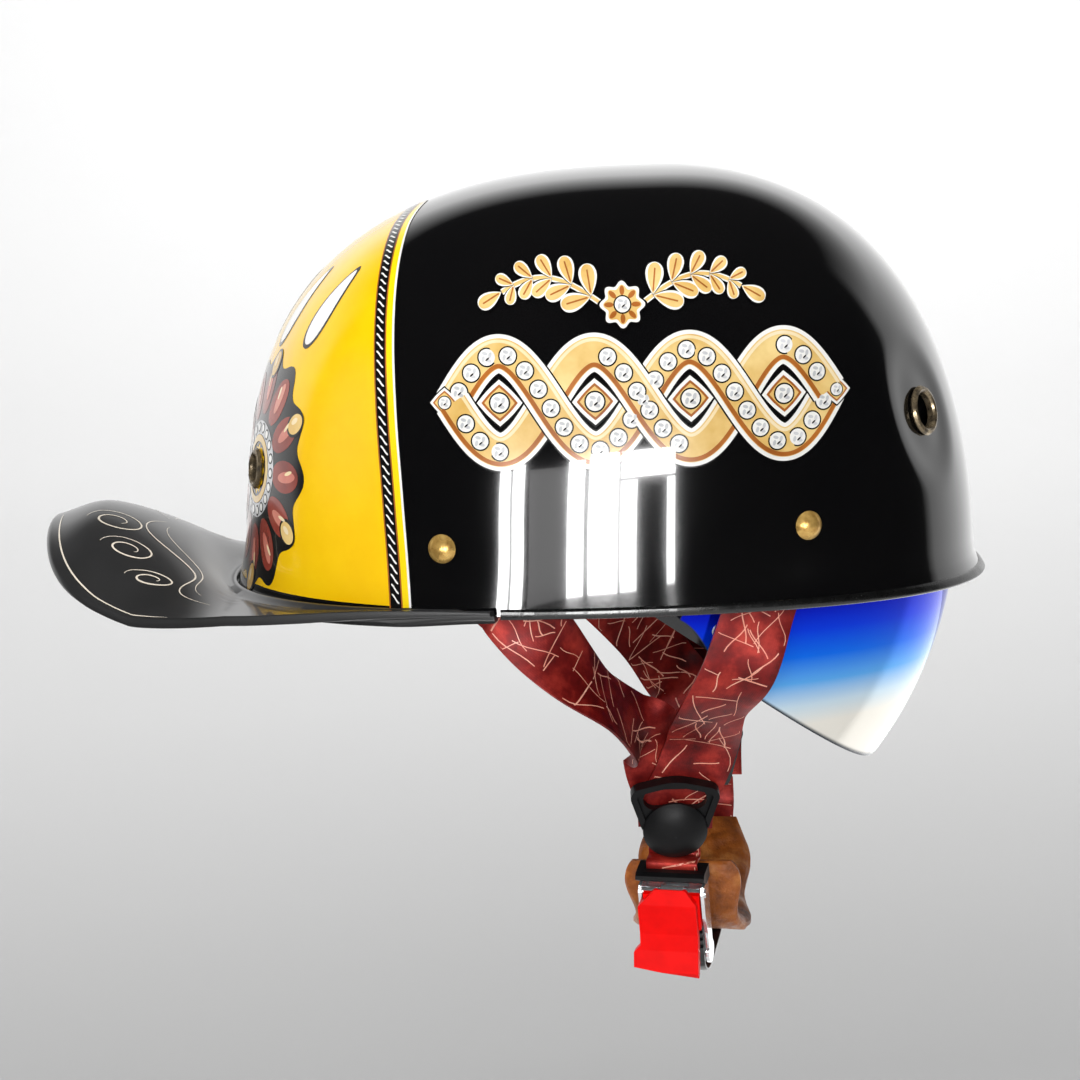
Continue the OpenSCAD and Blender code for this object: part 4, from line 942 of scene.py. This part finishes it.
# Toothed strip: its band, then the length in the buckle with its teeth
webbing("strip_band",
        [buckle_frame([0, -1.05, -40.6]), buckle_frame([0, -0.9, -42.5]), [22, -42, -138.4],
         [23.8, -33, -139.2], [26.3, -21, -137.4], [29.1, -8.5, -134.2], [30.8, 2, -132.4]],
        [[1, -0.27, 0]] * 2 + [[1, -0.3, 0]] * 3 + [[1, -0.2, 0], [1, -0.1, 0]], 18, "ratchet_strip",
        lines=False, mat=M["plastic"])
TEETH, PITCH = 6, 3
prof = [[-0.3, -18.5], [-0.3, -41], [-1.8, -41]]
for i in range(TEETH - 1, -1, -1):
    z = -19.5 - i * PITCH
    prof += [[-1.8, z - 2.9], [-2.7, z - 0.1]]
prof += [[-1.8, -19.3], [-0.9, -18.5]]
v, f = loops([[buckle_frame([x, y, z]) for y, z in prof] for x in (-9, -8.7, 8.7, 9)])
make("strip_teeth", v, f, M["plastic"], angle=30)

# Chin pad: a crowned strip with folds in its leather and a channel along its middle
PAD_HALF, PAD_IN, PAD_OUT = 20, 4.8, 2.2
path, side, normal = strip_path(
    [[22, -41.5, -99], [22.5, -40, -108], [23.5, -36.5, -118], [25.5, -26.5, -126], [27.5, -11, -128.2],
     [29, 6, -125.8], [30, 21, -120.4], [30.6, 32.5, -113], [31, 38.5, -104.5]],
    [[1, -0.2, 0]] * 2 + [[1, -0.25, 0]] * 2 + [[1, -0.15, 0], [1, -0.05, 0]] + [[1, 0, 0]] * 3, 14)
i, j = mesh(span(len(path)), sin(linspace(-pi / 2, pi / 2, 31)))
ends = (2 * i - 1) ** 6
fold = 0.17 * sin(i * 34 + j * 4 + 1.3 * sin(j * 5)) + 0.09 * sin(i * 71 - j * 7)
crown = sqrt(maximum(1 - ends, 0)) * sqrt(maximum(1 - j ** 4, 0))
grow = maximum(0.16, crown * (1 - 0.22 * exp(-(j / 0.07) ** 2) + fold))
half_w = PAD_HALF * (1 - 0.12 * ends + 0.07 * sind(i * 24 * 42))
mid = path[:, None] + side[:, None] * (j * half_w)[..., None]
v, f = slab(mid + normal[:, None] * (PAD_OUT * minimum(1, 2 * grow))[..., None],
            mid - normal[:, None] * (grow * PAD_IN)[..., None])
leather, n, l, p = new_mat("worn_leather")
tone(n, l, p, "Base Color", noise(n, l, 90, 6, 0.6),
     [(0.3, srgb(96, 46, 12)), (0.52, srgb(164, 90, 34)), (0.76, srgb(214, 142, 76))])
tone(n, l, p, "Roughness", noise(n, l, 130), [(0.3, 0.4), (0.7, 0.62)])
fill(p, {"Specular IOR Level": 0.25})
grain = bump(n, l, p, cell_pattern(n, l, 900, "DISTANCE_TO_EDGE"), 0.35, 0.0004)
bump(n, l, p, noise(n, l, 160, 5, 0.6, (1, 0.35, 1)), 0.8, 0.0018, grain)
make("chin_cushion", v, f, leather, ["chin_pad"], angle=80)

# CAD solids that stay, by finish
CARRIED = {
    "bronze": ("front_eyelets", "rear_eyelets"),
    "brass": ("strap_rivets",),
    "steel": ("rivet_washers", "buckle_channel", "lever_pin", "lever_spring"),
    "dark_steel": ("lens_screws", "pivot_screws"),
    "nylon": ("pivot_washers",),
    "plastic": ("pivot_bracket_right", "pivot_bracket_left", "divider_back_right", "divider_back_left"),
    "satin": ("divider_right", "divider_left", "divider_cap_right", "divider_cap_left", "buckle_cover"),
    "red": ("release_lever",),
}
for key, nodes in CARRIED.items():
    for node in nodes:
        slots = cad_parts[node].data.materials
        slots.clear()
        slots.append(M[key])

# Rear panel: its border runs up one side, over the top and down the other
half_border = array([[-67.7, -97.5, 5], [-69, -96.3, 30.8], [-70.2, -93.5, 53.2], [-71.3, -84.6, 82],
                        [-70.5, -66.5, 108.1], [-66.2, -38, 124.5], [-61.5, 0, 134.5]])
border = along(concatenate([half_border, half_border[-2::-1] * [1, -1, 1]]), 24)
border = dome(*foot(border))
near_half = border[:len(border) // 2 + 1]
zs = linspace(5.2, near_half[-1, 2] - 0.1, 120)
border_phi, _ = foot(near_half)
edge_phi = 360 - interp(zs, near_half[:, 2], where(border_phi < 0, border_phi + 360, border_phi))
cols = span(141)
panel_phi = mix(edge_phi[:, None], 360 - edge_phi[:, None], cols[None])
on_skin("yellow", panel_phi, level(panel_phi, zs[:, None]), 0.1)
# The panel is open over the rear vents
VENT_OPEN = 6.2
mids = concatenate(PAINT["yellow"][0])[array(PAINT["yellow"][1])].mean(1)
off_vent = np.min([norm(cross(mids - dome(*EYE_REAR) * k, dome_n(*EYE_REAR) * k), axis=-1)
                   for k in SIDES], axis=0)
PAINT["yellow"][1] = [q for q, d in zip(PAINT["yellow"][1], off_vent) if d > VENT_OPEN]
rearward = unit(cross(unit(gradient(border, axis=0)), dome_n(*foot(border))))
rearward = rearward * sign(-rearward[:, 0:1])


def band(colour, d0, d1, lift, across=3):
    """A stripe along the border, from d0 to d1 behind it."""
    steps = linspace(d0, d1, across)[None, :, None]
    on_dome(colour, border[:, None] + rearward[:, None] * steps, lift)


band("white", -0.2, 0.6, 0.2)
band("bright", 0.6, 2.9, 0.16)
band("brown", 2.9, 3.5, 0.2)
band("black", 3.4, 7.4, 0.22, across=5)
band("brown", 7.3, 7.9, 0.2)
# Rope strokes on the black band
ROPE_MID, ROPE_HALF, ROPE_STEP, ROPE_W = 5.4, 1.3, 3.3, 1.05
run = run_of(border)
q = linspace(-1, 1, 7)
lean = q * 1.5 + 0.25 * sin(q * 3)
thick = ROPE_W * sqrt(maximum(1 - q ** 2 * 0.8, 0.05))
for start in arange(3, run[-1] - 2, ROPE_STEP):
    grid = []
    for k in (-0.5, 0.5):
        rr = start + lean + k * thick
        grid.append(pick(rr, run, border) + pick(rr, run, rearward) * (ROPE_MID + q * ROPE_HALF)[:, None])
    on_dome("white", stack(grid, 1), 0.3)
# A thin black line along the panel's foot
foot_phi = stack([mix(edge_phi[0], 360 - edge_phi[0], cols)] * 2)
on_skin("black", foot_phi, level(foot_phi, array([[4.5], [5.2]])), 0.14)

# Rosettes round the rear eyelets
ROSETTE, OVAL = 1.34, 1.12


def rosette(side):
    k = array([1, side, 1])
    c, axis = dome(*EYE_REAR) * k, dome_n(*EYE_REAR) * k
    uu = unit(cross([0, 0, 1.0], axis))
    ww = cross(axis, uu)

    def put(colour, shape, lift):
        on_dome(colour, c + ROSETTE * (shape[0][..., None] * uu + shape[1][..., None] * ww), lift)

    put("black", disc2(0, 0, lambda t: 27.5 + 1.9 * cos(12 * t), n=144, rings=10, inner=0.2, b=OVAL), 0.2)
    for i in range(12):
        a = i * pi / 6
        at = polar(19.2, a, OVAL)
        put("maroon", disc2(*at, 1, 7.2, 4.2, a, n=28), 0.26)
        put("pink", disc2(*polar(1.1, a, at=at), 1, 4.6, 1.5, a + 0.12, n=20, rings=2), 0.31)
        put("cream", dot(*polar(2.4, a + 0.5, at=at), 1, 1.9, 0.5, a + 0.3), 0.35)
    put("silver", disc2(0, 0, 12.6, n=96, inner=0.72), 0.27)
    for i in range(18):
        at = polar(10.9, i * pi / 9)
        put("black", dot(*at, 1.45), 0.32)
        put("white", dot(*at, 1.0), 0.36)
    put("gold", disc2(0, 0, 8.9, n=72, rings=2, inner=0.8), 0.34)
    for i in range(6):
        a = i * pi / 3 + pi / 6
        at = polar(25.4, a, OVAL)
        put("black", disc2(*at, 1, 4.4, 3.4, a, rings=2), 0.33)
        put("gold", disc2(*at, 1, 3.6, 2.6, a, rings=2), 0.37)
        put("cream", dot(at[0] - 0.5, at[1] + 0.7, 1, 1.6, 0.8, a), 0.41)


for side in (-1, 1):
    rosette(side)
# White drops over them, each on a black one
DROP_HALF_W, DROP_HALF_H, DROP_Z, DROP_STEP = 6.2, 13.5, 99.5, 14
t, k = linspace(0, 2 * pi, 41), span(4)[:, None]
for i in range(-2, 3):
    mid_phi = 180 + i * DROP_STEP
    for wide, high, colour, lift in ((1.0, 1, "black", 0.2), (0.82, 0.9, "white", 0.26)):
        dy = DROP_HALF_W * wide * sin(t) * (1 - 0.35 * cos(t)) * k
        h = side_level(DROP_Z + DROP_HALF_H * high * cos(t) * k + 0.7 * abs(i))
        radius = norm(dome(mid_phi, h)[..., :2] - [XM + 14, 0], axis=-1)
        on_skin(colour, mid_phi + np.degrees(dy / radius), h, lift)

# Side bands
BAND_Z, BAND_X0, BAND_X1, WAVE_L, WAVE_H = 72, -52, 71, 61.5, 15.5


def side_art(side):
    """Two interlaced waves with set stones, a lozenge in each eye and at each end, and sprigs over them."""
    x = linspace(BAND_X0, BAND_X1, 260)
    cycle = 2 * pi * (x - BAND_X0) / WAVE_L
    for odd in (0, 1):
        z = BAND_Z + WAVE_H * sin(cycle + odd * pi)
        over = 0.09 * sign(sin(cycle + pi / 2) * (1 if odd else -1))
        lift = (0.3 + over * smooth(0, 0.5, abs(cos(cycle))))[:, None]
        for w, colour, dl in ((13.2, "black", -0.06), (12.2, "white", 0.0), (9.6, "gold", 0.04)):
            on_side(colour, *stroke2(x, z, w, 5), lift + dl, side)
        d = unit(stack([gradient(x), gradient(z)], -1))
        for off, w, colour in ((-3.9, 1.4, "brown"), (3.9, 1.0, "cream")):
            on_side(colour, *stroke2(x - d[:, 1] * off, z + d[:, 0] * off, w), lift + 0.07, side)
        run = concatenate([[0], np.cumsum(np.hypot(np.diff(x), np.diff(z)))])
        for at in arange(4.2 + 3.6 * odd, run[-1] - 3, 7.2):
            above = float(interp(at, run, lift[:, 0])) + 0.08
            if not odd or above >= 0.36:
                stone(interp(at, run, x), interp(at, run, z), 2.65, above, side)
    for cx in (-36.6, -5.9, 24.9, 55.6):
        gem(cx, BAND_Z, 8.2, 0.34, side)
    for cx in (BAND_X0 - 2.5, BAND_X1 + 2.5):
        gem(cx, BAND_Z, 5.4, 0.3, side)
    sprigs(4, 102, side)


def stone(cx, cz, r, lift, side):
    """A round stone that stands out, with facets and a glint."""
    on_side("black", *dot(cx, cz, r * 1.18, n=20), lift, side)
    on_side("white", *disc2(cx, cz, r, n=20), lift + 0.05 + linspace(0.34, 0, 4)[:, None], side)
    for i in range(4):
        a = i * pi / 2 + 0.5
        facet = dot(*polar(0.48 * r, a, at=(cx, cz)), 1, 0.36 * r, 0.2 * r, a + 0.8, n=8)
        on_side("silver", *facet, lift + 0.33, side)
    glint = dot(cx + 0.1 * r, cz - 0.25 * r, 1, 0.3 * r, 0.1 * r, 0.7, n=8)
    on_side("black", *glint, lift + 0.42, side)


def gem(cx, cz, r, lift, side):
    for i, (k, colour) in enumerate(((1.0, "black"), (0.9, "white"), (0.72, "brown"), (0.6, "gold"))):
        outline = lambda t: r * k * (1 / (abs(cos(t)) + abs(sin(t))) ** 0.82)
        on_side(colour, *disc2(cx, cz, outline, n=32, rings=2), lift + 0.04 * i, side)
    stone(cx, cz, r * 0.36, lift + 0.16, side)


def leaf(x0, z0, a, length, w, side, lift):
    """A pointed leaf with a vein, growing from its foot at angle a."""
    c, s = cos(a), sin(a)
    t, q = linspace(0, 2 * pi, 29), span(4)[:, None]
    for k, colour, dl in ((1.0, "black", 0), (0.84, "white", 0.05), (0.62, "gold", 0.09)):
        x = w * k * sin(t) * abs(sin(t / 2)) * q
        z = length / 2 * mix(0.8, 1, k) * (-cos(t)) * q + length / 2
        on_side(colour, x0 + z * c - x * s, z0 + z * s + x * c, lift + dl, side)
    v = linspace(0.12, 0.8, 12) * length
    on_side("brown", *stroke2(x0 + v * c, z0 + v * s, 0.5), lift + 0.13, side)


def sprigs(cx, cz, side):
    """Two curved branches that leave a small rosette."""
    t = span(60)
    for way in (-1, 1):
        x, z = cx + way * (6 + 33 * t), cz + 9 * sin(t * 2.6)
        for w, colour, lift in ((2.6, "black", 0.2), (1.9, "white", 0.25), (1.1, "gold", 0.3)):
            on_side(colour, *stroke2(x, z, w), lift, side)
        for k in range(5):
            q = 0.12 + 0.19 * k
            x0, z0 = interp(q, t, x), interp(q, t, z)
            slope = atan2(interp(q + 0.02, t, z) - z0, way * (interp(q + 0.02, t, x) - x0))
            for turn in (0.85, -0.85):
                a = slope + turn if way > 0 else pi - (slope + turn)
                leaf(x0, z0, a, 10.5 - k, 4.6 - 0.4 * k, side, 0.32 + 0.02 * k)
        leaf(x[-1], z[-1], atan2(z[-1] - z[-3], x[-1] - x[-3]), 9, 4, side, 0.42)
    for r, colour, lift in ((8.2, "black", 0.44), (7.4, "white", 0.48), (6.2, "gold", 0.52)):
        on_side(colour, *disc2(cx, cz, lambda t: r * (0.9 + 0.1 * cos(8 * t)), n=96), lift, side)
    for k in range(8):
        a = k * pi / 4
        on_side("brown", *dot(*polar(4.4, a, at=(cx, cz)), 1, 1.5, 0.8, a), 0.56, side)
    stone(cx, cz, 2.5, 0.56, side)


for side in (-1, 1):
    side_art(side)
for key, (verts, faces, normals, _) in PAINT.items():
    make("painted_" + key, concatenate(verts), faces, M[key],
         angle=None, normals=concatenate(normals))

# Camera: it looks at a point of the helmet, from a little above
LOOK_AT, FAR, FOCAL = (-25, 0, 10.8), 1.0, 91.7
ELEV, ROLL = radians(9), radians(1.6)
view = bpy.data.cameras.new("view")
view.lens, view.sensor_width = FOCAL, 36
view.clip_start, view.clip_end = 0.05, 30
cam = add("view", view)
forward = Vector((0, cos(ELEV), -sin(ELEV)))
cam.location = Vector((array(LOOK_AT) - [SEAT[0], 0, SEAT[2]]) / 1000) - forward * FAR
right = Vector((1, 0, 0))
level_up = right.cross(forward)
rolled_right = right * cos(ROLL) - level_up * sin(ROLL)
rolled_up = level_up * cos(ROLL) + right * sin(ROLL)
cam.rotation_euler = Matrix((rolled_right, rolled_up, -forward)).transposed().to_euler()
bpy.context.scene.camera = cam

# Floor: it rises into a wall at the back and at the front; its colour is a painted light falloff, grey near
# the helmet and paler further away
FLOOR_Z, WALL_Y, BEND_R, FLAT_Y, TOP_Z, HALF_X, FRONT_SCALE = -0.42, 3.4, 1.2, 2.2, 5.0, 8, -1.5
bend = linspace(0, pi / 2, 16)[1:]
yy = concatenate([linspace(0, FLAT_Y, 6), FLAT_Y + BEND_R * sin(bend), [WALL_Y]])
zz = concatenate([np.zeros(6), BEND_R - BEND_R * cos(bend), [TOP_Z]])
yy, zz = concatenate([FRONT_SCALE * yy[:0:-1], yy]), concatenate([zz[:0:-1], zz])
floor_me = bpy.data.meshes.new("floor")
verts = [[x, y, z + FLOOR_Z] for y, z in zip(yy, zz) for x in (-HALF_X, HALF_X)]
floor_me.from_pydata(verts, [], cells(len(yy), 2))
floor_me.shade_smooth()
floor = add("floor", floor_me)
floor_m, n, l, p = new_mat("pale_floor")
sep = shader(n, "SeparateXYZ")
l.new(coords(n), sep.inputs[0])
distance = shader(n, "Math", operation="ABSOLUTE")
share = shader(n, "Math", {1: 3.3}, operation="DIVIDE")
l.new(sep.outputs["Y"], distance.inputs[0])
l.new(distance.outputs[0], share.inputs[0])
# Painted light falloff: the grey grows paler with the distance from the helmet
tone(n, l, p, "Base Color", share.outputs[0],
     [(0.1, 0.398), (0.195, 0.492), (0.27, 0.55), (0.36, 0.607), (0.57, 0.7), (0.81, 0.82), (0.92, 0.91),
      (0.99, 0.95)])
fill(p, {"Roughness": 0.9, "Specular IOR Level": 0.0})
floor_me.materials.append(floor_m)
floor.visible_glossy = False

# World: bright behind the helmet and low, so that the gloss shows a pale room only along the outline
world = bpy.data.worlds.new("room")
bpy.context.scene.world = world
world.use_nodes = True
n, l = world.node_tree.nodes, world.node_tree.links
sep = shader(n, "SeparateXYZ")
l.new(coords(n, "Generated"), sep.inputs[0])
both = shader(n, "Mix", {6: (0.015, 0.015, 0.015, 1)}, data_type="RGBA")
l.new(ramp(n, l, sep.outputs["Z"], [(0.4, 1), (0.66, 0)]), both.inputs[0])
l.new(ramp(n, l, sep.outputs["Y"], [(0.0, 0.012), (0.24, 0.02), (0.34, 0.62), (0.8, 0.95)]), both.inputs[7])
l.new(both.outputs[2], n["Background"].inputs["Color"])
fill(n["Background"], {"Strength": 1.0})


# Lights
def area(name, at, aim, sx, sy, watts, glossy=True):
    light = bpy.data.lights.new(name, "AREA")
    light.shape, light.size, light.size_y, light.energy = "RECTANGLE", sx, sy, watts
    o = add(name, light)
    o.location = at
    o.rotation_euler = (Vector(aim) - Vector(at)).to_track_quat("-Z", "Y").to_euler()
    o.visible_glossy = glossy
    return o


area("overhead", (0.1, -0.3, 1.7), (-0.03, 0, -0.08), 1.6, 1.2, 26, glossy=False)
area("front_fill", (-0.2, -1.9, 0.5), (-0.03, 0, -0.12), 1.4, 1.0, 24, glossy=False)
area("rear_fill", (-1.8, -0.4, 0.4), (-0.1, 0, -0.1), 1.0, 1.0, 12, glossy=False)
area("back_wash", (0.2, 1.4, 2.2), (0.0, 3.0, 0.2), 2.6, 1.2, 64, glossy=False)
# A low card and window panes that the gloss alone shows
card = area("low_card", (0.5, -0.15, -0.41), (0.5, -0.15, 1), 1.6, 2.1, 0.95 * pi * 1.6 * 2.1)
card.visible_diffuse = False
card.visible_camera = False
# Panes: left, right, foot, head and radiance
PANE_Y = -2.4
PANES = ((-1.07, -0.93, -0.52, 0.2, 26), (-0.9, -0.76, -0.5, 0.22, 30), (-0.7, -0.31, -0.5, 0.16, 1.8),
         (-0.3, -0.15, -0.5, 0.2, 30), (-0.11, 0.1, -0.5, 0.24, 34), (0.12, 0.6, 0.02, 0.24, 30),
         (0.12, 0.25, -0.5, 0.0, 26), (0.52, 0.6, -0.5, 0.0, 24))
for k, (x0, x1, z0, z1, glow) in enumerate(PANES):
    w, h, z = x1 - x0, z1 - z0, (z0 + z1) / 2
    pane = area(f"pane_{k}", ((x0 + x1) / 2, PANE_Y, z), (0, 0, z), w, h, glow * pi * w * h)
    pane.rotation_euler = (pi / 2, 0, 0)
    pane.visible_diffuse = False
bpy.context.scene.view_settings.view_transform = "Standard"
